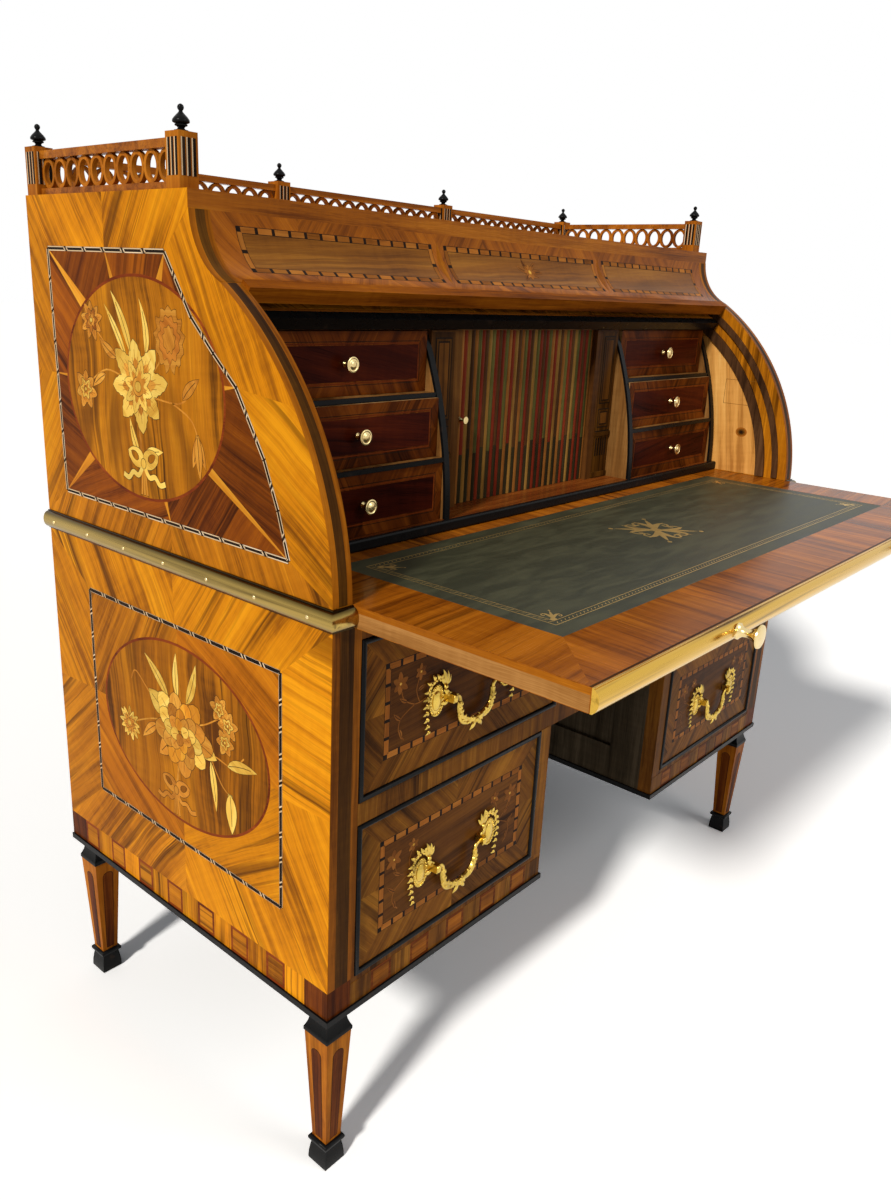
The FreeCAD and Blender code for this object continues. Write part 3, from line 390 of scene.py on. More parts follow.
class Inlay:
    """Thin plates on one face of the desk, laid out in millimetres along, up and off that face."""

    def __init__(self, name, place, body="case", slot="veneer", bends=()):
        self.name = name
        self.place = place
        self.body = body
        self.slot = slot
        self.bends = bends
        self.mesh = bmesh.new()
        self.number = self.mesh.faces.layers.int.new("plate")
        self.thick = self.mesh.verts.layers.float.new("thick")
        self.plates = []
        self.woods = []

    def add(self, points, material, level=0.0, thick=0.4, grain=0.0, tone=0.1):
        """One plate, laid face up; grain is its direction in degrees, tone how far its shade may stray."""
        self.plates.append((math.radians(grain), chance.uniform(0, 4), chance.uniform(0, 4),
                            chance.uniform(-tone, tone)))
        if material not in self.woods:
            self.woods.append(material)
        face = self.mesh.faces.new([self.mesh.verts.new((s, t, level)) for s, t in points])
        face[self.number] = len(self.plates) - 1
        face.material_index = self.woods.index(material)
        face.normal_update()
        if face.normal.z < 0:
            face.normal_flip()
        for vert in face.verts:
            vert[self.thick] = thick

    def finish(self):
        for vert in raised(self.mesh, self.mesh.faces[:]):
            vert.co.z += vert[self.thick]
        self.mesh.verts.layers.float.remove(self.thick)
        for t in self.bends:
            everything = self.mesh.verts[:] + self.mesh.edges[:] + self.mesh.faces[:]
            bmesh.ops.bisect_plane(self.mesh, geom=everything, plane_co=(0, t, 0), plane_no=(0, 1, 0))
        own = self.mesh.loops.layers.uv.new("grain")
        shade = self.mesh.faces.layers.float.new("tone")
        for face in self.mesh.faces:
            angle, along, across, tone = self.plates[face[self.number]]
            face[shade] = tone
            for loop in face.loops:
                s, t, _ = loop.vert.co
                loop[own].uv = ((s * math.cos(angle) + t * math.sin(angle)) * MM + along,
                                (t * math.cos(angle) - s * math.sin(angle)) * MM + across)
        self.mesh.faces.layers.int.remove(self.number)
        for vert in self.mesh.verts:
            vert.co = self.place(*vert.co)
        if self.mesh.calc_volume(signed=True) < 0:
            bmesh.ops.reverse_faces(self.mesh, faces=self.mesh.faces)
        return put(self.name, self.mesh, self.body, self.slot, self.woods, 35 if self.bends else None, True)


# Faces of the desk: each turns millimetres along, up and off the face into a place in the frame
def side_face(sign):
    return lambda s, t, h: (sign * (HALF + h * MM), FRONT + s * MM, t * MM)


def inner_face(sign):
    return lambda s, t, h: (sign * (INNER - h) * MM, FRONT + s * MM, t * MM)


def front_face(y):
    return lambda s, t, h: (s * MM, y - h * MM, t * MM)


def level_face(z):
    return lambda s, t, h: (s * MM, FRONT + t * MM, z + h * MM)


def fall_face(s, t, h):
    angle = t / FALL
    reach = FALL + h
    return s * MM, FRONT + (FALL - reach * math.cos(angle)) * MM, (AXIS + reach * math.sin(angle)) * MM


def cove_face(s, t, h):
    angle = COVE_START + t / COVE
    reach = COVE - h
    return s * MM, FRONT + (COVE_Y + reach * math.cos(angle)) * MM, (COVE_Z + reach * math.sin(angle)) * MM


# Outlines
def box(s0, t0, s1, t1):
    return [(s0, t0), (s1, t0), (s1, t1), (s0, t1)]


def mirrored(sign, x0, t0, x1, t1):
    """A box on the right half of the desk, or for sign -1 its like on the left."""
    left, right = sorted((sign * x0, sign * x1))
    return box(left, t0, right, t1)


def oval(s, t, wide, tall, count=72):
    turns = [2 * math.pi * i / count for i in range(count)]
    return [(s + wide * math.cos(a), t + tall * math.sin(a)) for a in turns]


def moved(points, s, t, turn=0.0, size=1.0, flip=1):
    """Points turned by degrees and shifted; flip -1 mirrors them first."""
    c = math.cos(math.radians(turn)) * size
    d = math.sin(math.radians(turn)) * size
    return [(s + flip * x * c - y * d, t + flip * x * d + y * c) for x, y in points]


def grown(points, amount):
    """Points pushed away from their middle."""
    middle_s = sum(p[0] for p in points) / len(points)
    middle_t = sum(p[1] for p in points) / len(points)
    result = []
    for s, t in points:
        reach = math.hypot(s - middle_s, t - middle_t) or 1
        result.append((s + (s - middle_s) / reach * amount, t + (t - middle_t) / reach * amount))
    return result


def petal(long, wide, blunt=0.8, bow=0.0, count=8, teeth=0.0):
    """A leaf or petal from its foot at zero up to its tip; bow bends it sideways, teeth notch its edge."""
    left = []
    right = []
    for i in range(count + 1):
        share = i / count
        half = wide / 2 * max(math.sin(math.pi * share ** 0.8), 0) ** blunt * (1 + teeth * (-1) ** i)
        middle = bow * long * share * share
        left.append((middle - half, long * share))
        right.append((middle + half, long * share))
    return left + right[-2:0:-1]


def ribbon(path, wide):
    """A strip of even width along a path."""
    left = []
    right = []
    for i, (s, t) in enumerate(path):
        s0, t0 = path[max(i - 1, 0)]
        s1, t1 = path[min(i + 1, len(path) - 1)]
        reach = math.hypot(s1 - s0, t1 - t0) or 1
        across = (-(t1 - t0) / reach * wide / 2, (s1 - s0) / reach * wide / 2)
        left.append((s + across[0], t + across[1]))
        right.append((s - across[0], t - across[1]))
    return left + right[::-1]


def curve(*knots, count=6):
    """A smooth path through its knots."""
    path = []
    ends = [knots[0], *knots, knots[-1]]
    for i in range(1, len(ends) - 2):
        p0, p1, p2, p3 = [Vector(p) for p in ends[i - 1:i + 3]]
        for k in range(count):
            u = k / count
            point = p1 * 2 + (p2 - p0) * u + (p0 * 2 - p1 * 5 + p2 * 4 - p3) * u * u
            point += (p1 * 3 - p0 - p2 * 3 + p3) * u * u * u
            path.append(tuple(point / 2))
    path.append(tuple(knots[-1]))
    return path


# Marquetry motifs; (u, v) runs to the right and up from the middle of the bouquet
class Bouquet:
    def __init__(self, inlay, s, t, flip, stem_level=0.5, rim=0.7):
        self.inlay = inlay
        self.rim = rim
        self.s = s
        self.t = t
        self.flip = flip
        self.stem_level = stem_level

    def lay(self, points, material, level, grain=90.0, rim=1.0):
        """One piece of the motif, with its scorched outline below it."""
        own = moved(points, self.s, self.t, flip=self.flip)
        if rim:
            self.inlay.add(grown(own, rim * self.rim), LINE, level - 0.03, 0.05, grain)
        self.inlay.add(own, material, level, 0.06, grain, 0.16)

    def stem(self, *knots, wide=2.0, material=TAN):
        self.lay(ribbon(curve(*knots), wide), material, self.stem_level, 45, 0)

    def leaf(self, u, v, turn, long, wide, bow=0.15, material=PALE, level=0.54):
        outline = petal(long, wide, 0.9, bow)
        self.lay(moved(outline, u, v, turn), material, level, turn + 90)
        rib = [(bow * long * k * k, long * k) for k in (0.05, 0.3, 0.55, 0.8)]
        self.lay(moved(ribbon(rib, 0.8), u, v, turn), LINE, level + 0.05, 0, 0)

    def flower(self, u, v, rings, heart, start=0.0, veins=True, level=0.58):
        """Rings of petals as (count, reach, width, material), the outer ring first, and a heart's radius."""
        for count, reach, wide, material in rings:
            for k in range(count):
                turn = start + 360 * k / count + chance.uniform(-6, 6)
                long = reach * chance.uniform(0.9, 1.08)
                outline = petal(long, wide, 0.62, count=14, teeth=0.07)
                self.lay(moved(outline, u, v, turn), material, level, turn + 90)
                if veins:
                    foot = petal(long * 0.62, wide * 0.62, 0.7)
                    self.lay(moved(foot, u, v, turn), TAN, level + 0.04, turn + 90, 0)
                    for lean in (-0.16, 0, 0.16):
                        vein = [(lean * wide * 2 * k2, long * k2) for k2 in (0.45, 0.6, 0.78 - abs(lean))]
                        self.lay(moved(ribbon(vein, 0.6), u, v, turn), RUST, level + 0.055, 0, 0)
                level += 0.012
            start += 180 / count
            level += 0.02
        self.lay(oval(u, v, heart, heart, 18), TAN, level + 0.02)
        self.lay(oval(u, v, heart * 0.55, heart * 0.55, 14), PALE, level + 0.06)

    def frilled(self, u, v, reach, material, level=0.58):
        """A carnation: three frilled rings, each smaller and higher."""
        for ring, share in enumerate((1.0, 0.72, 0.42)):
            outline = []
            for k in range(48):
                angle = 2 * math.pi * k / 48
                frill = math.sin(angle * (13 - 2 * ring)) * (1 + 0.4 * math.sin(angle * 3))
                radius = reach * share * (1 + 0.11 * frill)
                outline.append((u + radius * 0.8 * math.cos(angle), v + radius * math.sin(angle)))
            self.lay(outline, material if ring != 1 else RUST, level + ring * 0.06, 30 * ring, 0.9)

    def cluster(self, u, v, wide, tall, count, level=0.58):
        """A full flower of rounded petals, laid from the rim to the heart."""
        for k in range(count):
            share = 1 - k / count
            angle = math.radians(137.5 * k)
            size = 8 + 9 * share
            turn = math.degrees(angle) - 90
            outline = petal(size * 2, size * 1.8, 0.5, count=10, teeth=0.03)
            spot = (u + wide * share * math.cos(angle), v + tall * share * math.sin(angle))
            self.lay(moved(outline, *spot, turn), (TAN, PALE, TAN, BLAZE)[k % 4], level, turn + 90)
            vein = ribbon([(0, size * 0.5), (0, size * 1.5)], 0.8)
            self.lay(moved(vein, *spot, turn), RUST, level + 0.05, 0, 0)
            level += 0.012

    def bow(self, u, v, size=1.0, material=PALE):
        """Two loops, a knot and two waving tails."""
        for side in (-1, 1):
            loop = petal(34 * size, 24 * size, 0.55, side * 0.1)
            self.lay(moved(loop, u, v, -side * 62), material, 0.60, 20)
            hole = petal(17 * size, 9 * size, 0.6)
            self.lay(moved(hole, u + side * 10 * size, v + 4.5 * size, -side * 62), OVAL_BROWN, 0.66, 90, 0.8)
            turns = ((0, 0), (11, -15), (23, -13), (33, -21), (44, -18))
            tail = curve(*[(u + side * a * size, v + b * size) for a, b in turns])
            for wide, wood_of_tail, level in ((8 * size, LINE, 0.54), (6.4 * size, material, 0.57)):
                self.lay(ribbon(tail, wide), wood_of_tail, level, 0, 0)
        for lean in (-1, 0, 1):
            stalk = [(u + lean * 2 * size, v), (u + lean * 6 * size, v - 38 * size)]
            self.lay(ribbon(stalk, 3.2 * size), TAN, 0.55, 90)
        self.lay(oval(u, v, 5 * size, 6 * size, 16), material, 0.70)


def upper_bouquet(inlay, s, t, flip):
    b = Bouquet(inlay, s, t, flip)
    b.stem((0, -84), (-3, -40), (0, 0), wide=4)
    b.stem((4, 4), (38, 30), (60, 58))
    b.stem((-8, 10), (-60, 42), (-96, 70))
    b.stem((-20, 8), (-70, 18), (-118, -6))
    b.stem((12, -4), (70, -8), (92, -2))
    b.stem((66, -8), (100, -22), (112, -40))
    b.leaf(-14, 40, 16, 78, 13, -0.22)
    b.leaf(-24, 34, 30, 74, 10, -0.1)
    b.leaf(16, 42, -18, 56, 12, -0.5)
    b.leaf(-46, 34, 72, 40, 13, 0.2, TAN)
    b.leaf(-72, 12, 108, 34, 11, -0.2, TAN)
    b.leaf(86, -2, -40, 40, 14, 0.2, TAN)
    b.leaf(6, -76, -62, 38, 13, 0.25)
    b.leaf(-5, -76, 40, 44, 11, 0.3)
    b.flower(-98, 74, [(9, 24, 11, TAN), (7, 15, 8, RUST)], 4.5)
    b.flower(-120, -10, [(7, 25, 14, TAN), (6, 14, 8, PALE)], 4)
    b.frilled(64, 62, 34, TAN)
    for u, turn, long, bend, level in ((110, 198, 40, -0.1, 0.54), (114, 168, 40, 0.1, 0.66),
                                       (112, 184, 50, 0.0, 0.78)):
        b.leaf(u, -38, turn, long, 13, bend, TAN, level)
    b.flower(-2, 4, [(8, 57, 29, PALE), (8, 31, 15, PALE)], 11, start=8)
    b.bow(2, -86)


def lower_bouquet(inlay, s, t, flip):
    b = Bouquet(inlay, s, t, flip)
    b.stem((-14, -86), (-6, -40), (0, 0), wide=4)
    b.stem((-14, 12), (-60, 4), (-112, -18))
    b.stem((-10, 24), (-58, 34), (-96, 60), (-108, 46))
    b.stem((16, 20), (52, 34), (84, 54))
    b.stem((20, -6), (70, -2), (104, -4), (128, 16))
    b.stem((56, 2), (82, -34), (98, -44))
    b.leaf(-24, 44, 38, 68, 14, -0.15)
    b.leaf(-4, 50, 12, 60, 12, 0.2)
    b.leaf(14, 48, -32, 62, 15, -0.2)
    b.leaf(-52, -2, 118, 44, 14, -0.2, TAN)
    b.leaf(96, -6, -66, 56, 16, 0.22)
    b.leaf(62, -12, -166, 66, 12, 0.1)
    b.leaf(-14, -38, 40, 44, 14, 0.2, TAN)
    b.flower(-118, -22, [(13, 24, 8, PALE), (9, 14, 6, TAN)], 6)
    for u, v in ((82, 64), (98, 48), (92, 24)):
        b.flower(u, v, [(6, 19, 12, TAN), (5, 10, 7, PALE)], 3.5, start=u)
    for u, turn, long, wide, level in ((96, 214, 20, 7, 0.54), (104, 150, 20, 7, 0.66),
                                       (100, 186, 54, 21, 0.78)):
        b.leaf(u, -42, turn, long, wide, 0.05, level=level)
    b.leaf(-30, 22, 66, 44, 28, 0.1)
    b.leaf(34, 4, -98, 42, 26, 0.1)
    b.leaf(-20, -14, 128, 40, 24, -0.1, TAN)
    b.cluster(2, 4, 32, 30, 30)
    b.bow(-14, -82, 0.95, TAN)


def stringing(inlay, path, pitch, line, wide=5.8, level=0.34):
    """A black line between two white broken ones, their ends joined by slanting lines at each break."""
    inlay.add(ribbon(path, wide), LINE, level, 0.16)
    edge = wide / 2 - line / 2 - 0.2
    for (s0, t0), (s1, t1) in zip(path, path[1:]):
        reach = math.hypot(s1 - s0, t1 - t0)
        turn = math.degrees(math.atan2(t1 - t0, s1 - s0))
        count = max(1, round(reach / pitch))
        step = reach / count
        for k in range(count):
            start = k * step
            end = start + step
            inside = k < count - 1
            pieces = []
            for side, first, last in ((-1, -1.6, -6), (1, 2, -2.4)):
                pieces.append(box(start + (first if k else 0.8), side * edge - line / 2,
                                  end + (last if inside else -0.8), side * edge + line / 2))
            for foot in (end - 7.6, end - 1.6) if inside else ():
                pieces.append([(foot, -edge), (foot + 2.2, -edge), (foot + 5.6, edge), (foot + 3.4, edge)])
            for piece in pieces:
                inlay.add(moved(piece, s0, t0, turn), WHITE, level + 0.06, 0.14, turn)


def fall_points(low, high, count=18):
    """Points of the fall's outline on the side, between two angles in degrees."""
    turns = [math.radians(low + (high - low) * i / count) for i in range(count + 1)]
    return [(FALL - FALL * math.cos(a), AXIS + FALL * math.sin(a)) for a in turns]


def cove_points(count=12):
    turns = [COVE_START + COVE_LENGTH / COVE * i / count for i in range(count + 1)]
    return [(COVE_Y + COVE * math.cos(a), COVE_Z + COVE * math.sin(a)) for a in turns]


def upper_side(sign):
    """Feather-laid border, broken stringing, rayed field and the oval with its bouquet."""
    inlay = Inlay("upper_side_inlay_%s" % ("left" if sign < 0 else "right"), side_face(sign))
    arc = curve((68, 787), (85, 838), (107, 888), (152, 957), (190, 989), (228, 1024), (274, 1090), count=3)
    near = [p for p in arc if p[1] < 950]
    far = [p for p in arc if p[1] > 950]
    low_right, high_right, high_left, low_left = (68, 787), (274, 1090), (526, 1091), (518, 787)
    inlay.add([(572, TOP), (395, TOP), (395, 1091), high_left], GOLD, grain=52)
    inlay.add([(395, TOP), (228.5, TOP), (228.5, TOP_LOW), high_right, (395, 1091)], GOLD, grain=-56)
    inlay.add(fall_points(33, 57.7) + cove_points()[1:] + far[::-1], GOLD, grain=62)
    inlay.add(fall_points(1.5, 33) + [far[0]] + near[::-1], GOLD, grain=32)
    inlay.add([(0.3, 751.5), (280, 751.5), (280, 787), low_right], HONEY, grain=62)
    inlay.add([(280, 751.5), (572, 751.5), low_left, (280, 787)], HONEY, grain=-58)
    inlay.add([(572, 751.5), (572, 940), (522, 940), low_left], GOLD, grain=-52)
    inlay.add([(572, 940), (572, TOP), high_left, (522, 940)], GOLD, grain=56)

    middle = (334, 936)
    ring = arc + [(395, 1091), high_left, (522, 940), low_left, (280, 787)]
    marks = [0, 9, 18, 19, 20, 21, 22, 23, 24]
    for first, last, grain in zip(marks, marks[1:], (20, 60, -75, -60, 40, 20, -20, -50)):
        sector = [middle] + [ring[i % len(ring)] for i in range(first, last + 1)]
        inlay.add(sector, RED, grain=grain, tone=0.25)
    rays = ((0, 7), (9, 9), (18, 11), (19, 6), (20, 11), (21, 4), (22, 10), (23, 7))
    for index, wide in rays:
        s, t = ring[index]
        turn = math.degrees(math.atan2(t - middle[1], s - middle[0]))
        reach = math.hypot(s - middle[0], t - middle[1])
        ray = moved([(100, -wide), (reach * 0.98, -0.8), (reach * 0.98, 0.8), (100, wide)], *middle, turn)
        inlay.add(ray, BLAZE, 0.3, 0.12, turn)
    for path, pitch in (([low_left, low_right], 38), (arc[::3], 26), ([high_right, high_left], 40),
                        ([high_left, low_left], 40)):
        stringing(inlay, path, pitch, 1.2)
    inlay.add(oval(*middle, 164, 130), CHERRY, 0.3, 0.16)
    inlay.add(oval(*middle, 160.5, 126.5), OVAL, 0.3, 0.18, 86)
    upper_bouquet(inlay, *middle, sign)
    inlay.finish()


def lower_side(sign):
    """Feather-laid border, stringing, quartered field, oval bouquet and the block frieze."""
    inlay = Inlay("lower_side_inlay_%s" % ("left" if sign < 0 else "right"), side_face(sign))
    s0, s1, t0, t1 = 82, 477, 358, 658
    inlay.add([(280, t1), (s0, t1), (0, WAIST), (283, WAIST)], GOLD, grain=-52)
    inlay.add([(572, WAIST), (s1, t1), (280, t1), (283, WAIST)], GOLD, grain=58)
    inlay.add([(572, WAIST), (572, 508), (s1, 512), (s1, t1)], GOLD, grain=54)
    inlay.add([(572, 508), (572, BAND_TOP), (s1, t0), (s1, 512)], HONEY, grain=-40)
    inlay.add([(276, BAND_TOP), (276, t0), (s1, t0), (572, BAND_TOP)], HONEY, grain=-48)
    inlay.add([(0, BAND_TOP), (s0, t0), (276, t0), (276, BAND_TOP)], GOLD, grain=56)
    inlay.add([(0, BAND_TOP), (0, 508), (s0, 504), (s0, t0)], GOLD, grain=58)
    inlay.add([(0, 508), (0, WAIST), (s0, t1), (s0, 504)], GOLD, grain=6)

    middle = (276, 512)
    ring = [(s0, t0), (s0, 512), (s0, t1), (276, t1), (s1, t1), (s1, 512), (s1, t0), (276, t0)]
    for k, (quarter, grain) in enumerate(((AMBER, 28), (HONEY, -58), (AMBER, 38), (GOLD, -34))):
        sector = [middle] + [ring[(2 * k + 1 + i) % 8] for i in range(3)]
        inlay.add(sector, quarter, grain=grain, tone=0.05)
    for start, end in zip(ring[::2], ring[2::2] + ring[:1]):
        stringing(inlay, [start, end], 32, 0.4)
    inlay.add(oval(*middle, 176, 124), CHERRY, 0.3, 0.16)
    inlay.add(oval(*middle, 172.5, 120.5), OVAL_BROWN, 0.3, 0.18, 88)
    lower_bouquet(inlay, *middle, sign)

    inlay.add(box(0, BASE, 40, BAND_TOP), MAHOGANY, grain=90)
    inlay.add(box(532, BASE, 572, BAND_TOP), MAHOGANY, grain=90)
    blocks(inlay, 40, 532, 14, GOLD, HONEY, CHERRY)
    inlay.finish()


def blocks(inlay, start, end, count, plain, framed, edge, top=BAND_TOP):
    """The base frieze: plain blocks between blocks with a red edge."""
    step = (end - start) / count
    for k in range(count):
        left = start + k * step
        right = left + step
        if k % 2 == 0:
            inlay.add(box(left, BASE, right, top), plain, grain=90, tone=0.2)
            continue
        inlay.add(box(left, BASE, right, top), edge, grain=0)
        inlay.add(box(left + 4, BASE + 4, right - 4, top - 4), framed, 0.3, 0.14, 0, 0.2)


def dashes(inlay, s0, t0, s1, t1, wide, brick, level=0.3):
    """A dark band round a rectangle with pale bricks along it."""
    runs = (((s0, t0), (s1, t0)), ((s1, t0), (s1, t1)), ((s1, t1), (s0, t1)), ((s0, t1), (s0, t0)))
    for (sa, ta), (sb, tb) in runs:
        reach = math.hypot(sb - sa, tb - ta)
        turn = math.degrees(math.atan2(tb - ta, sb - sa))
        ground = [(0, 0), (reach, 0), (reach - wide, wide), (wide, wide)]
        inlay.add(moved(ground, sa, ta, turn), LINE, level, 0.1, turn)
        count = max(2, round((reach - wide) / (brick * 1.24)))
        step = (reach - wide) / count
        for k in range(count):
            start = wide / 2 + k * step
            piece = box(start + brick * 0.12, 0.7, start + step - brick * 0.12, wide - 0.7)
            inlay.add(moved(piece, sa, ta, turn), BRICK, level + 0.04, 0.1, turn, 0.25)


def feather(inlay, s0, t0, s1, t1, deep, material, level=0.0, thick=0.3, lean=48):
    """A mitred border whose grain slopes to the middle of each side."""
    ms, mt = (s0 + s1) / 2, (t0 + t1) / 2
    a0, b0, a1, b1 = s0 + deep, t0 + deep, s1 - deep, t1 - deep
    outer = [(s0, t0), (ms, t0), (s1, t0), (s1, mt), (s1, t1), (ms, t1), (s0, t1), (s0, mt)]
    inner = [(a0, b0), (ms, b0), (a1, b0), (a1, mt), (a1, b1), (ms, b1), (a0, b1), (a0, mt)]
    for k in range(8):
        after_k = (k + 1) % 8
        points = [outer[k], outer[after_k], inner[after_k], inner[k]]
        inlay.add(points, material, level, thick, -lean if k % 2 else lean, 0.2)


def frame_lines(inlay, s0, t0, s1, t1, wide, material, level):
    """A thin line round a rectangle."""
    for path in ([(s0, t0), (s1, t0)], [(s1, t0), (s1, t1)], [(s1, t1), (s0, t1)], [(s0, t1), (s0, t0)]):
        inlay.add(ribbon(path, wide), material, level, 0.1)


def front_veneer():
    """Stiles with a dark band, cross-grained rails and the block frieze of the two pedestals."""
    inlay = Inlay("front_inlay", front_face(FRONT))
    strips = ((588, BAND_TOP, 577, WAIST, CROSS), (577, BAND_TOP, 557, WAIST, DARK),
              (557, BAND_TOP, 546.5, WAIST, CROSS), (546, 485.5, 190, 512.5, WALNUT),
              (189.5, BAND_TOP, 167, 485, WALNUT), (588, BASE, 552, BAND_TOP, MAHOGANY))
    for sign in (-1, 1):
        for *edges, material in strips:
            inlay.add(mirrored(sign, *edges), material, grain=90)
        blocks(inlay, *sorted((sign * 552, sign * 167)), 11, WALNUT, CROSS, MAHOGANY, 274.5)
    inlay.finish()


def spray(inlay, s, t, flip, size):
    """A slender spray with two flowers, as on the drawers."""
    b = Bouquet(inlay, s, t, flip, 0.36, 0.25)
    stems = (((30, -2), (10, -4), (-10, 8), (-16, 26)), ((10, -4), (-14, -16), (-18, -32), (-8, -46)),
             ((18, -3), (12, 14), (18, 32)))
    for knots in stems:
        b.stem(*[(u * size, v * size) for u, v in knots], wide=1.4, material=GREY)
    for u, v, turn, long in ((-14, -18, 60, 18), (-17, -30, -150, 15), (-4, 3, 70, 16), (15, 12, -60, 14)):
        b.leaf(u * size, v * size, turn, long * size, 5.5 * size, 0.2, GREY, 0.40)
    for u, v, reach in ((-17, 30, 15), (19, 36, 11)):
        b.flower(u * size, v * size, [(6, reach * size, reach * 0.55 * size, GREY)], 2.2 * size, veins=False,
                 level=0.42)


def drawer_veneer(name):
    """Feather border, dash rectangle, dark field and two sprays on a drawer front."""
    low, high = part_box(name + "_drawer")
    inlay = Inlay(name + "_inlay", front_face(low.y), name + "_drawer_body")
    s0, s1, t0, t1 = (value / MM for value in (low.x, high.x, low.z, high.z))
    feather(inlay, s0, t0, s1, t1, 32, WALNUT)
    field = (s0 + 31, t0 + 31, s1 - 31, t1 - 31)
    inlay.add(box(*field), BURR, 0, 0.3, 4)
    dashes(inlay, *field, 9, 17, 0.26)
    ms, mt = (s0 + s1) / 2, (t0 + t1) / 2
    reach = (s1 - s0) / 2 - 72
    for side in (-1, 1):
        spray(inlay, ms + side * reach, mt, -side, 0.95)
    inlay.finish()


def fall_edges():
    """Front edges of the upper sides and the ends of the cove: a dark band between lighter ones."""
    for sign in (-1, 1):
        word = "left" if sign < 0 else "right"
        fall = Inlay("fall_edge_" + word, fall_face, bends=range(16, 380, 8))
        cove = Inlay("cove_edge_" + word, cove_face, bends=range(8, 92, 7))
        for inlay, start, end in ((fall, 10, 380), (cove, 0.5, COVE_LENGTH - 0.5)):
            for x0, x1, material in ((588, 580, EDGE), (580, 568, DARK), (568, 561, EDGE)):
                inlay.add(mirrored(sign, x0, start, x1, end), material, 0, 0.3, 90)
            inlay.finish()


def cove_veneer():
    """Three dash-framed panels on the cove, a small motif in the middle one."""
    inlay = Inlay("cove_inlay", cove_face, bends=range(6, 92, 6))
    edges = [-561, -440, -320, -200, -100, 0, 100, 200, 320, 440, 561]
    for k, (s0, s1) in enumerate(zip(edges, edges[1:])):
        inlay.add(box(s0, 0.5, s1, COVE_LENGTH - 0.5), COVE_GROUND, 0, 0.3, 52 if k % 2 else -52)
    for s0, s1 in ((-530, -210), (-186, 186), (210, 530)):
        inlay.add(box(s0, 22, s1, 80), COVE_FIELD, 0.2, 0.14, 3)
        dashes(inlay, s0, 22, s1, 80, 8, 19, 0.3)
    for s in (-198, 198):
        inlay.add([(s, 18), (s + 8, 51), (s, 84), (s - 8, 51)], EDGE, 0.2, 0.2, 90)
    b = Bouquet(inlay, 0, 51, 1, 0.30, 0.3)
    for side in (-1, 1):
        b.leaf(side * 5, 0, -side * 80, 26, 9, 0.2, GREY, 0.40)
        b.leaf(side * 4, 3, -side * 40, 20, 7, 0.2, GREY, 0.41)
        b.leaf(side * 4, -3, -side * 120, 18, 7, -0.2, GREY, 0.41)
    b.flower(0, 0, [(8, 14, 7, BRICK)], 4, veins=False, level=0.42)
    inlay.finish()


def shell_veneer():
    """Outside of the cylinder: matched leaves and three framed panels, seen when it is closed."""
    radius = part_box("cylinder_shell")[1].z / MM - AXIS

    def place(s, t, h):
        angle = t / radius
        y = FALL - (radius + h) * math.cos(angle)
        return s * MM, FRONT + y * MM, (AXIS + (radius + h) * math.sin(angle)) * MM

    low, high = math.radians(57) * radius, math.radians(114.5) * radius
    bends = [low + (high - low) * k / 30 for k in range(1, 30)]
    inlay = Inlay("shell_inlay", place, "cylinder", bends=bends)
    for k in range(6):
        inlay.add(box(-552 + k * 184, low, -368 + k * 184, high), HONEY, 0, 0.12, 62 if k % 2 else -62)
    for s0, s1 in ((-520, -210), (-180, 180), (210, 520)):
        inlay.add(box(s0, low + 40, s1, high - 40), RED, 0.08, 0.06, 88)
        dashes(inlay, s0, low + 40, s1, high - 40, 8, 19, 0.1)
    inlay.finish()


def leg_veneer():
    """Dark tapering panels with arched heads on every face of the four legs."""
    tip, neck = [corner.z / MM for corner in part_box("legs")]
    turns = [math.pi * k / 8 for k in range(9)]

    def half(t):
        return 12.5 + 7.5 * (t - tip) / (neck - tip)

    for number, (x, y) in enumerate(LEGS):
        for turn, (nx, ny) in enumerate(((0, -1), (1, 0), (0, 1), (-1, 0))):
            def place(s, t, h, nx=nx, ny=ny, x=x, y=y):
                out = half(t) + h
                return (x + nx * out - ny * s) * MM, FRONT + (y + ny * out + nx * s) * MM, t * MM
            inlay = Inlay("leg_inlay_%d_%d" % (number, turn), place)
            for grow, material, level in ((1.0, LINE, 0.0), (0.3, MAHOGANY, 0.08)):
                foot, head = tip + 5 - grow, neck - 26
                wide, top = half(foot) * 0.42 + grow, half(head) * 0.42 + grow
                arch = [(top * math.cos(a), head + (7 + grow) * math.sin(a)) for a in turns]
                inlay.add([(-wide, foot), (wide, foot)] + arch, material, level, 0.16, 90)
            inlay.finish()


def leg_ends():
    """Black hollow-moulded necks and spade feet with a collar, square in plan."""
    tip, neck = [corner.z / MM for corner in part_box("legs")]
    base = BASE - 8
    foot = [(14.6, 0), (15.8, 1), (16, 4), (15.6, 12), (14.6, 20), (13.4, 27), (13.2, 29.6), (14.6, 30),
            (16, 31), (16.5, 33), (16.5, 35), (15.6, 37), (13.6, tip)]
    flare = [(20.2, 0), (21, 0.8), (21, 5.6), (20.2, 7), (18.8, 10), (17, 15), (15.8, 21), (15.2, 28)]
    mesh = bmesh.new()
    for x, y in LEGS:
        for profile in (foot, [(half, neck + rise) for half, rise in flare] + [(15, base)]):
            rings = []
            for half, z in profile:
                spot = Vector((x, FRONT / MM + y, z)) * MM
                rings.append(hoop(mesh, spot, (half * MM, half * MM, 0), (-half * MM, half * MM, 0), 4))
            skin(mesh, rings)
    ends = put("moulded_leg_ends", mesh, "case", "ebonised", [EBONY], 40)
    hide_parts("ebonised_feet")


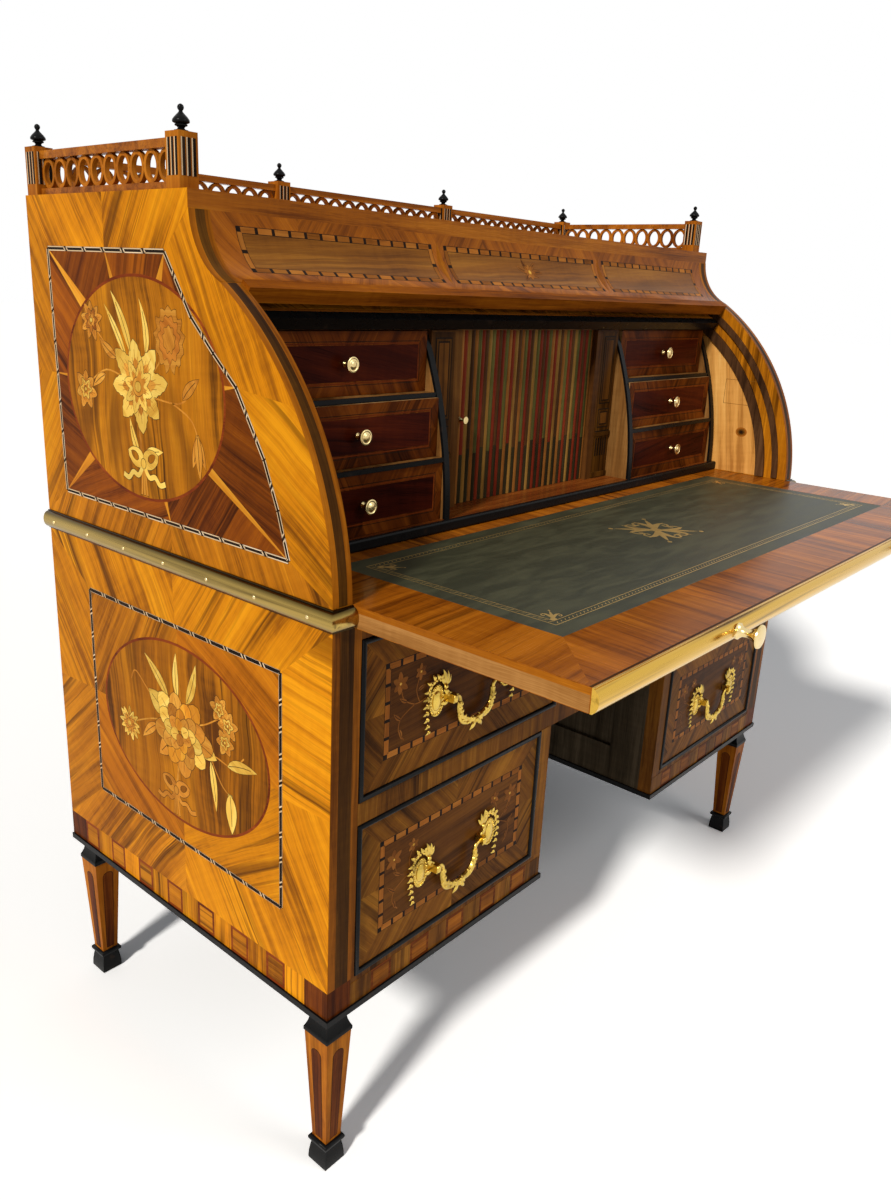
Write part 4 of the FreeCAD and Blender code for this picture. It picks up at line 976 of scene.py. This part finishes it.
def beads():
    """Rounded black beads round the drawer openings."""
    mesh = bmesh.new()
    profile = [(0.6, -6), (0.6, 0.8), (1.6, 2.2), (3.8, 3), (6, 2.2), (7, 0.8), (7, -6)]
    for x0, z0, x1, z1 in OPENINGS.values():
        rings = []
        for inset, proud in profile:
            spot = Vector(((x0 + x1) / 2, FRONT / MM - proud, (z0 + z1) / 2)) * MM
            wide = ((x1 - x0) / 2 - inset) * MM
            tall = ((z1 - z0) / 2 - inset) * MM
            rings.append(hoop(mesh, spot, (wide, 0, tall), (-wide, 0, tall), 4))
        skin(mesh, rings, True)
    round_beads = put("round_beads", mesh, "case", "ebonised", [EBONY], 50)
    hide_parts("drawer_beads")


def post_veneer():
    """Dark flutes and pale lines on the gallery posts."""
    for number, (x, y) in enumerate(POSTS):
        for turn, (nx, ny) in enumerate(((0, -1), (1, 0), (0, 1), (-1, 0))):
            def place(s, t, h, nx=nx, ny=ny, x=x, y=y):
                out = 12 + h
                return (x + nx * out - ny * s) * MM, FRONT + (y + ny * out + nx * s) * MM, t * MM
            inlay = Inlay("post_inlay_%d_%d" % (number, turn), place)
            for s in (-6.6, 0, 6.6):
                inlay.add(box(s - 2.6, 1166, s + 2.6, 1203), LINE, 0, 0.15, 90)
                inlay.add(box(s - 2.6, 1166, s - 1.2, 1203), WHITE, 0.08, 0.12, 90)
            inlay.finish()


def nest_veneer(name):
    """Crossbanded small drawer: lighter border with red lines round a dark field."""
    low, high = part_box(name + "_drawer")
    inlay = Inlay(name + "_inlay", front_face(low.y), name + "_body", "mahogany")
    s0, s1, t0, t1 = (value / MM for value in (low.x, high.x, low.z, high.z))
    feather(inlay, s0, t0, s1, t1, 17, MAHOGANY, 0, 0.25, 60)
    inlay.add(box(s0 + 17, t0 + 17, s1 - 17, t1 - 17), FLAME, 0, 0.25, chance.uniform(-12, 12))
    frame_lines(inlay, s0 + 16, t0 + 15, s1 - 16, t1 - 15, 1.3, CHERRY, 0.2)
    frame_lines(inlay, s0 + 13.4, t0 + 12.4, s1 - 13.4, t1 - 12.4, 0.8, LINE, 0.2)
    inlay.finish()


def pilaster_veneer():
    """Two moulded panels on each pilaster over a ledge, short flutes and a plain foot."""
    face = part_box("pilasters")[0].y
    inlay = Inlay("pilaster_inlay", front_face(face), slot="mahogany")
    strips = [(234, 768, 188, 1010, DARK, 0, 0.3), (234, 768, 188, 776, DARK, 0.2, 2),
              (234, 838, 188, 845, DARK, 0.2, 2.6), (232, 845, 190, 847, LINE, 0.2, 1.4)]
    strips += [(x + 1.7, 804, x - 1.7, 834, LINE, 0.2, 0.4) for x in (226, 218.5, 211, 203.5, 196)]
    for low, high in ((852, 884), (892, 1003)):
        for inset, material, level, thick in ((0, LINE, 0.2, 0.3), (2, DARK, 0.3, 0.6), (5, LINE, 0.7, 0.3),
                                              (7, BURR, 0.8, 0.4)):
            strips.append((228 - inset, low + inset, 194 + inset, high - inset, material, level, thick))
    for sign in (-1, 1):
        for x0, z0, x1, z1, material, level, thick in strips:
            inlay.add(mirrored(sign, x0, z0, x1, z1), material, level, thick, 90)
    inlay.finish()


def inner_sides():
    """Light walnut inside the upper sides, with a knot and a faint patch."""
    for sign in (-1, 1):
        inlay = Inlay("inner_side_%s" % ("left" if sign < 0 else "right"), inner_face(sign))
        turns = [math.radians(2.2 + 52 * k / 20) for k in range(21)]
        arc = [(FALL - 319 * math.cos(a), AXIS + 319 * math.sin(a)) for a in turns]
        inlay.add(arc + [(360, arc[-1][1]), (360, 751.8), (arc[0][0], 751.8)], SIDE, 0, 0.25, 82)
        for size, material in ((9, RUST), (6.5, WALNUT), (4.2, DARK), (2, LINE)):
            inlay.add(oval(98, 829, size * 1.25, size, 20), material, 0.2, 0.10 + 0.01 * (9 - size), 20)
        frame_lines(inlay, 72, 880, 142, 925, 0.7, WALNUT, 0.2)
        inlay.finish()


def slide_veneer():
    """Cross-grained border of the slide, pale raw ends and the gold tooling of the leather."""
    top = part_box("slide_board")[1].z
    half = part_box("slide_board")[1].x
    inlay = Inlay("slide_inlay", level_face(top), "writing_slide")
    edges = [-560, -410, -250, -90, 80, 240, 400, 560]
    for k, (s0, s1) in enumerate(zip(edges, edges[1:])):
        a0 = s0 if k else -475
        a1 = s1 if k < 6 else 475
        inlay.add([(s0, -289.5), (s1, -289.5), (a1, -202.5), (a0, -202.5)], POLISH, 0, 0.12, 84, 0.2)
    for sign in (-1, 1):
        for low, corner, high in ((-202.5, -289.5, 20), (20, 20, 239)):
            points = [(sign * 475, low), (sign * 560, corner), (sign * 560, high), (sign * 475, high)]
            inlay.add(points, POLISH, 0, 0.12, 4, 0.2)
        inlay.add(mirrored(sign, 0, 115.5, 475, 239), POLISH, 0, 0.12, 84, 0.2)
    inlay.add(box(-560, -289.4, 560, -286.6), DARK, 0.12, 0.04, 0)
    inlay.finish()
    for sign in (-1, 1):
        def place(s, t, h, sign=sign):
            return sign * (half + h * MM), FRONT + s * MM, t * MM
        end = Inlay("slide_end_%s" % ("left" if sign < 0 else "right"), place, "writing_slide")
        end.add(box(-289, 727, 239, 743.5), RAW, 0, 0.2, 0)
        end.add(box(-289, 743.5, 239, 750.4), EDGE, 0, 0.2, 0)
        end.finish()

    gold = Inlay("leather_tooling", level_face(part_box("slide_leather")[1].z), "writing_slide", "leather")
    for inset, wide in ((24, 1.0), (33, 0.9)):
        frame_lines(gold, -475 + inset, -202 + inset, 475 - inset, 115 - inset, wide, TOOLING, 0.0)
    corners = box(-446, -174, 446, 87)
    for (sa, ta), (sb, tb) in zip(corners, corners[1:] + corners[:1]):
        reach = math.hypot(sb - sa, tb - ta)
        turn = math.degrees(math.atan2(tb - ta, sb - sa))
        for k in range(int(reach / 7)):
            curl = [(k * 7 + 1, -2.2), (k * 7 + 3.4, -0.6), (k * 7 + 5.6, 2.2), (k * 7 + 3, 0.8)]
            gold.add(moved(curl, sa, ta, turn), TOOLING, 0, 0.08)
    for s, t, size, first in ((0, -40, 1.0, 45), (-438, -166, 0.42, 45), (438, -166, 0.42, 135),
                              (438, 79, 0.42, 225), (-438, 79, 0.42, 315)):
        scrolls(gold, s, t, size, first)
    gold.finish()


def scrolls(gold, s, t, size, first):
    """A tooled motif: four leafy scrolls on a cross, or one quarter of it towards a corner."""
    arms = 4 if size == 1.0 else 1
    for k in range(arms):
        turn = first - 90 + 90 * k
        for bow in (-0.5, 0.5):
            gold.add(moved(petal(46 * size, 9 * size, 0.9, bow), s, t, turn), TOOLING, 0.0, 0.08)
            curl = curve((0, 24 * size), (bow * 30 * size, 40 * size), (bow * 52 * size, 34 * size),
                         (bow * 44 * size, 24 * size), (bow * 34 * size, 30 * size))
            gold.add(moved(ribbon(curl, 3 * size), s, t, turn), TOOLING, 0.01, 0.08)
        gold.add(moved(petal(62 * size, 8 * size, 0.9), s, t, turn), TOOLING, 0.02, 0.08)
        gold.add(moved(oval(0, 66 * size, 3.4 * size, 3.4 * size, 12), s, t, turn), TOOLING, 0.02, 0.08)
    gold.add(oval(s, t, 9 * size, 9 * size, 20), TOOLING, 0.02, 0.09)


def hoop(mesh, spot, side, over, steps):
    """A ring of vertices round a spot, at the ends of two half-axes and evenly between them."""
    side, over = Vector(side), Vector(over)
    shape = Matrix((side, over, side.cross(over))).transposed().to_4x4()
    shape.translation = spot
    return bmesh.ops.create_circle(mesh, segments=steps, radius=1, matrix=shape)["verts"]


def round_edges(ring):
    """The edges of a ring that nothing is joined to yet."""
    return list({edge for vert in ring for edge in vert.link_edges})


def skin(mesh, rings, closed=False):
    """Bridges rings one after another; closed joins the last to the first, else both ends are capped."""
    loops = [round_edges(ring) for ring in rings]
    for low, high in zip(loops, loops[1:] + (loops[:1] if closed else [])):
        bmesh.ops.bridge_loops(mesh, edges=low + high)
    if not closed:
        bmesh.ops.edgeloop_fill(mesh, edges=loops[0] + loops[-1])


def turned(mesh, profile, spot, way, steps=24):
    """A shape turned from a profile of (radius, reach), in millimetres along a way from a spot."""
    way = Vector(way)
    side = way.orthogonal().normalized()
    verts = [mesh.verts.new(Vector(spot) + (side * radius + way * reach) * MM) for radius, reach in profile]
    edges = [mesh.edges.new(pair) for pair in zip(verts, verts[1:])]
    bmesh.ops.spin(mesh, geom=verts + edges, cent=spot, axis=way, angle=2 * math.pi, steps=steps,
                   use_merge=True)
    bmesh.ops.holes_fill(mesh, edges=[edge for edge in mesh.edges if edge.is_boundary])


def strand(mesh, path, radii, flat=1.0, steps=8):
    """A closed tube along a path in front of a drawer, flattened towards it, with a radius at each point."""
    ahead_of_face = Vector((0, -1, 0))
    rings = []
    for k, (point, radius) in enumerate(zip(path, radii)):
        along = (path[min(k + 1, len(path) - 1)] - path[max(k - 1, 0)]).normalized()
        side = along.cross(ahead_of_face).normalized()
        over = side.cross(along) * flat
        rings.append(hoop(mesh, point, side * radius * MM, over * radius * MM, steps))
    skin(mesh, rings)


def ball(mesh, spot, radius, stretch=(1, 1, 1)):
    shape = Matrix.Translation(spot) @ Matrix.Diagonal((*stretch, 1))
    bmesh.ops.create_uvsphere(mesh, u_segments=10, v_segments=7, radius=radius * MM, matrix=shape)


def foil(mesh, at, x, z, turn, long, wide, bow, y, flat=0.4):
    """A chased leaf lying on the handle: a flattened strand, swelling and pointed."""
    path = []
    radii = []
    c, d = math.cos(math.radians(turn)), math.sin(math.radians(turn))
    for k in range(7):
        share = k / 6
        u = bow * long * share * share
        v = long * share
        path.append(at(x + u * c - v * d, z + u * d + v * c, y + 1.5 * math.sin(math.pi * share)))
        radii.append(wide / 2 * max(math.sin(math.pi * (0.12 + 0.86 * share)), 0.08))
    strand(mesh, path, radii, flat)


def handle(name):
    """Chased mounts on a drawer's plates and a leafy, bow-tied wrap on its bail."""
    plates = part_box(name + "_rosettes")
    middle = (plates[0].x + plates[1].x) / 2
    pivot = (plates[0].z + plates[1].z) / 2
    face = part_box(name + "_drawer")[0].y

    def at(x, z, y):
        return Vector((middle + x * MM, face - y * MM, pivot + z * MM))

    mounts = bmesh.new()
    for side in (-1, 1):
        centre = side * 68
        ball(mounts, at(centre, 0, 3), 1, (8, 3.2, 13))
        for k in range(22):
            a = 2 * math.pi * k / 22
            ball(mounts, at(centre + 11.2 * math.cos(a), 18 * math.sin(a), 3), 1.7)
        garland = [(-4, 26), (3, 27), (10, 24), (14, 17), (16.5, 9), (17.5, 0), (17.5, -9), (16.5, -18),
                   (15, -27), (13.5, -35)]
        for k, (x, z) in enumerate(garland):
            last_x, last_z = garland[max(k - 1, 0)]
            lean = math.degrees(math.atan2(-side * (x - last_x), z - last_z or 0.1))
            size = 1.0 - 0.045 * k
            for swing in (-38, 38):
                foil(mounts, at, centre + side * x, z, lean + swing, 9.5 * size, 5.2 * size, 0.2, 2.6)
            ball(mounts, at(centre + side * x, z, 3.6), 2.1 * size)
        for turn, long in ((28, 17), (2, 20), (-26, 16), (58, 14)):
            foil(mounts, at, side * 54, 17, side * turn, long, 6.5, 0.25 * side, 3)
        for x, z in ((58, 12), (53, 8), (49, 3)):
            foil(mounts, at, side * x, z, side * 120, 14, 6, -0.3 * side, 5)
        foil(mounts, at, side * 60, -6, side * 100, 15, 6, 0.3 * side, 3)
        ball(mounts, at(side * 46, 0, 14), 1, (4.4, 2.6, 5.6))
        ball(mounts, at(side * 54, 15, 4), 3.4)
    put(name + "_mounts", mounts, name + "_drawer_body", "gilt", [GILT], 40)

    wrap = bmesh.new()
    lane = curve((-32, -8), (-32, -20), (-27, -31), (-14, -39), (0, -42), (14, -39), (27, -31), (32, -20),
                 (32, -8), count=5)
    path = [at(x, z, 9) for x, z in lane]
    radii = [3.0 + 1.0 * abs(math.sin(k * 1.35)) for k in range(len(path))]
    strand(wrap, path, radii)
    for k in range(3, len(lane) - 3, 4):
        x, z = lane[k]
        for swing in (40, -40, 150, -150):
            foil(wrap, at, x, z, swing, 6.5, 3.6, 0.2, 10.5, 0.6)
    for side in (-1, 1):
        foil(wrap, at, side * 1, -42, -side * 62, 15, 7.5, side * 0.3, 10.5, 0.6)
        foil(wrap, at, side * 1, -43, -side * 125, 15, 6, side * 0.2, 10.5, 0.6)
    ball(wrap, at(0, -42.5, 11), 4.2)
    put(name + "_wrap", wrap, name + "_bail_body", "gilt", [GILT], 40)


def gallery():
    """Touching oval rings for the fret and turned urns for the finials."""
    rings = bmesh.new()
    middle, tall, deep, rim = 1178, 17.2, 6, 4.2
    urn_foot = 1209

    def ring(x, y, along, wide):
        through = along.cross(Vector((0, 0, 1))) * deep * MM
        spot = Vector((x, FRONT / MM + y, middle)) * MM - through / 2
        edges = []
        for inset in (0, rim):
            up = (0, 0, (tall - inset) * MM)
            edges += round_edges(hoop(rings, spot, along * (wide - inset) * MM, up, 28))
        flat = bmesh.ops.bridge_loops(rings, edges=edges)["faces"]
        bmesh.ops.translate(rings, vec=through, verts=raised(rings, flat))

    for x in (-574, 574):
        for k in range(10):
            ring(x, 268 + 27.8 * (k + 0.5), Vector((0, 1, 0)), 14.2)
    for start in (-562, -179, 203):
        for k in range(12):
            ring(start + 29.9 * (k + 0.5), 558, Vector((1, 0, 0)), 15.2)
    fret = put("gallery_rings", rings, "case", "veneer", [AMBER_Z], 40)
    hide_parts("gallery_fret")

    urns = bmesh.new()
    profile = [(7.5, 0), (7.5, 1.4), (4.6, 2.2), (3.4, 3.6), (4.6, 5), (6.6, 5.8), (6.8, 6.8), (5.6, 7.4),
               (8.8, 8.8), (9.2, 10), (8.8, 11.6), (7, 14), (4.6, 16.4), (2.6, 18.4), (1.9, 19.8),
               (2.6, 20.8), (3.4, 22.2), (3.5, 23.6), (2.8, 25.4), (1, 26.6)]
    for x, y in POSTS:
        turned(urns, profile, (x * MM, FRONT + y * MM, urn_foot * MM), (0, 0, 1))
    finials = put("turned_finials", urns, "case", "ebonised", [EBONY], 50)
    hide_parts("gallery_finials")


def knobs():
    """Smooth turned knobs in place of the plainer ones."""
    small = [(3.6, 0), (4.6, 0.6), (4.4, 1.6), (2.6, 3), (2.2, 7), (3.2, 10), (6.5, 12), (9.6, 13), (10, 14),
             (9.6, 15), (8.2, 15.4), (7.6, 14.9), (5.4, 15.2), (4.6, 16.2), (2.8, 16.8), (0.8, 17)]
    flared = [(9, 0), (9, 1.6), (7.4, 2.6), (5, 6), (4.6, 11), (5.6, 16), (8, 20), (12, 22.4), (13, 23.6),
              (12.6, 25), (9, 25.6), (5, 25.9), (1, 26)]
    for side in ("left", "right"):
        for level in ("low", "mid", "top"):
            name = "small_%s_%s" % (side, level)
            low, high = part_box(name + "_knob")
            mesh = bmesh.new()
            turned(mesh, small, ((low.x + high.x) / 2, high.y, (low.z + high.z) / 2), (0, -1, 0))
            knob = put(name + "_turned", mesh, name + "_body", "brass", [BRIGHT], 50)
            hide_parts(name + "_knob")
    low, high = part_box("slide_knobs")
    mesh = bmesh.new()
    for x in (-290, 290):
        turned(mesh, flared, (x * MM, high.y, (low.z + high.z) / 2), (0, -1, 0), 32)
    knob = put("slide_turned", mesh, "writing_slide", "brass", [BRIGHT], 50)
    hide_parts("slide_knobs")


def tambour():
    """Rounded slats of many woods, their lower part broken by dark lengths."""
    low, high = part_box("tambour_slats")
    count = 47
    wide = (high.x - low.x) / count
    mesh = bmesh.new()
    order = (3, 0, 1, 4, 0, 2, 3, 4, 1, 0, 3, 2, 1, 0)
    for k in range(count):
        x = low.x + k * wide
        split = low.z + (0.29 + 0.015 * (k % 4)) * (high.z - low.z)
        lower = order[k % 14] if k % 2 else 5
        bow = [(0, 1.2), (0.18, 0.3), (0.5, 0), (0.82, 0.3), (1, 1.2)]
        profile = [(0, high.y)] + [(share, low.y + back * MM) for share, back in bow] + [(1, high.y)]
        for z0, z1, wood_index in ((low.z, split, lower), (split, high.z, order[k % 14])):
            end = mesh.faces.new([mesh.verts.new((x + share * wide, y, z0)) for share, y in profile])
            end.material_index = wood_index
            bmesh.ops.translate(mesh, vec=(0, 0, z1 - z0), verts=raised(mesh, [end]))
    slats = put("tambour_strips", mesh, "tambour", "tambour", SLATS)
    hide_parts("tambour_slats")


def half_round(deep, low, high, count=14):
    """Profile of a brass moulding as (off the wood, height), with a small step above and below."""
    step = (high - low) * 0.06
    middle, tall = (low + high) / 2, (high - low) / 2 - step
    turns = [math.pi * (k / count - 0.5) for k in range(count + 1)]
    bow = [(deep * (0.25 + 0.75 * math.cos(a)), middle + tall * math.sin(a)) for a in turns]
    return [(0, low), (deep * 0.25, low)] + bow + [(deep * 0.25, high), (0, high)]


def brass_bands():
    """Half-round brass round the waist, along the slide's edge, and the pins that hold the bands."""
    mesh = bmesh.new()
    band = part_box("waist_bands")
    out = HALF_MM
    profile = half_round(band[1].x / MM - out, band[0].z / MM, band[1].z / MM)
    start = [(INNER, -off, z) for off, z in profile]
    corner = [(out + off, -off, z) for off, z in profile]
    end = [(out + off, DEPTH, z) for off, z in profile]
    for sign in (-1, 1):
        rings = []
        for section in (start, corner, end):
            ring = [mesh.verts.new((sign * x * MM, FRONT + y * MM, z * MM)) for x, y, z in section]
            for pair in zip(ring, ring[1:] + ring[:1]):
                mesh.edges.new(pair)
            rings.append(ring)
        skin(mesh, rings)
    bands = put("waist_brass", mesh, "case", "brass", [WAIST_BRASS], 40)
    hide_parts("waist_bands")

    mesh = bmesh.new()
    low_end, high_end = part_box("slide_edge")
    profile = half_round((high_end.y - low_end.y) / MM, low_end.z / MM, high_end.z / MM)
    cut = mesh.faces.new([mesh.verts.new((low_end.x, high_end.y - off * MM, z * MM)) for off, z in profile])
    bmesh.ops.translate(mesh, vec=(high_end.x - low_end.x, 0, 0), verts=raised(mesh, [cut]))
    edge = put("slide_brass", mesh, "writing_slide", "brass", [BRASS], 40)
    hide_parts("slide_edge")

    mesh = bmesh.new()
    for sign in (-1, 1):
        for k in range(7):
            spot = (sign * band[1].x, FRONT + (28 + 86 * k) * MM, (band[0].z + band[1].z) / 2)
            ball(mesh, spot, 2.4, (0.5, 1, 1))
    put("band_pins", mesh, "case", "brass", [BRIGHT], 60)


paint_frame()
for sign in (-1, 1):
    upper_side(sign)
    lower_side(sign)
front_veneer()
for name in OPENINGS:
    drawer_veneer(name)
    handle(name)
for side in ("left", "right"):
    for level in ("low", "mid", "top"):
        nest_veneer("small_%s_%s" % (side, level))
fall_edges()
cove_veneer()
shell_veneer()
leg_veneer()
leg_ends()
beads()
post_veneer()
pilaster_veneer()
inner_sides()
slide_veneer()
gallery()
knobs()
tambour()
brass_bands()

# Stage: pale floor, soft light from the left and the camera of the photograph
def shown(tree):
    """1 for the rays that see the background as white: the camera's and those of metal and glass."""
    kinds = ("Is Camera Ray", "Is Glossy Ray", "Is Transmission Ray")
    first, second, third = node(tree, "LightPath", {}, {}, kinds)
    return first.maths("MAXIMUM", second).maths("MAXIMUM", third)


def stage():
    plane = bmesh.new()
    bmesh.ops.create_grid(plane, x_segments=1, y_segments=1, size=30)
    data = bpy.data.meshes.new("floor")
    plane.to_mesh(data)
    plane.free()
    floor = bpy.data.objects.new("floor", data)
    bpy.context.scene.collection.objects.link(floor)
    material, tree, shader = new_material("floor", Roughness=0.9)
    feed(tree, shader.inputs["Base Color"], blend(tree, shown(tree), (0.8, 0.8, 0.8), (1.42, 1.42, 1.42)))
    data.materials.append(material)

    sun = bpy.data.lights.new("sun", "SUN")
    sun.energy = 3.0
    sun.angle = math.radians(7)
    sun.color = (1, 0.97, 0.92)
    lamp = bpy.data.objects.new("sun", sun)
    lamp.rotation_euler = Vector((0.80, 0.18, -0.575)).to_track_quat("-Z", "Y").to_euler()
    bpy.context.scene.collection.objects.link(lamp)

    window = bpy.data.lights.new("window", "AREA")
    window.energy = 20
    window.size = 1.4
    glow = bpy.data.objects.new("window", window)
    glow.location = (0.4, -2.6, 2.3)
    glow.rotation_euler = (Vector((0, 0.1, 0.8)) - glow.location).to_track_quat("-Z", "Y").to_euler()
    bpy.context.scene.collection.objects.link(glow)

    world = bpy.data.worlds.new("studio")
    bpy.context.scene.world = world
    world.use_nodes = True
    tree = world.node_tree
    room = node(tree, "Background", {}, {"Color": (0.93, 0.96, 1), "Strength": 0.19})
    white = node(tree, "Background", {}, {"Color": (1, 1, 1)})
    either = node(tree, "MixShader", {}, {0: shown(tree), 1: room, 2: white})
    feed(tree, tree.nodes["World Output"].inputs["Surface"], either)


def camera():
    yaw, pitch, roll = 0.8622, -0.3037, 0.0477
    ahead = Vector((math.sin(yaw) * math.cos(pitch), math.cos(yaw) * math.cos(pitch), math.sin(pitch)))
    level = Vector((math.cos(yaw), -math.sin(yaw), 0))
    up = level.cross(ahead)
    right = level * math.cos(roll) + up * math.sin(roll)
    top = up * math.cos(roll) - level * math.sin(roll)
    data = bpy.data.cameras.new("camera")
    data.sensor_fit = "VERTICAL"
    data.sensor_height = 36
    data.lens = 960.1 / 1200 * 36
    data.shift_x = 10.44 / 1200
    data.shift_y = -11.25 / 1200
    view = bpy.data.objects.new("camera", data)
    turn = Matrix((right, top, -ahead)).transposed()
    view.matrix_world = Matrix.Translation((-1.2178, FRONT - 0.6739, 1.0662)) @ turn.to_4x4()
    bpy.context.scene.collection.objects.link(view)
    bpy.context.scene.camera = view


stage()
camera()
bpy.context.scene.view_settings.view_transform = "Standard"
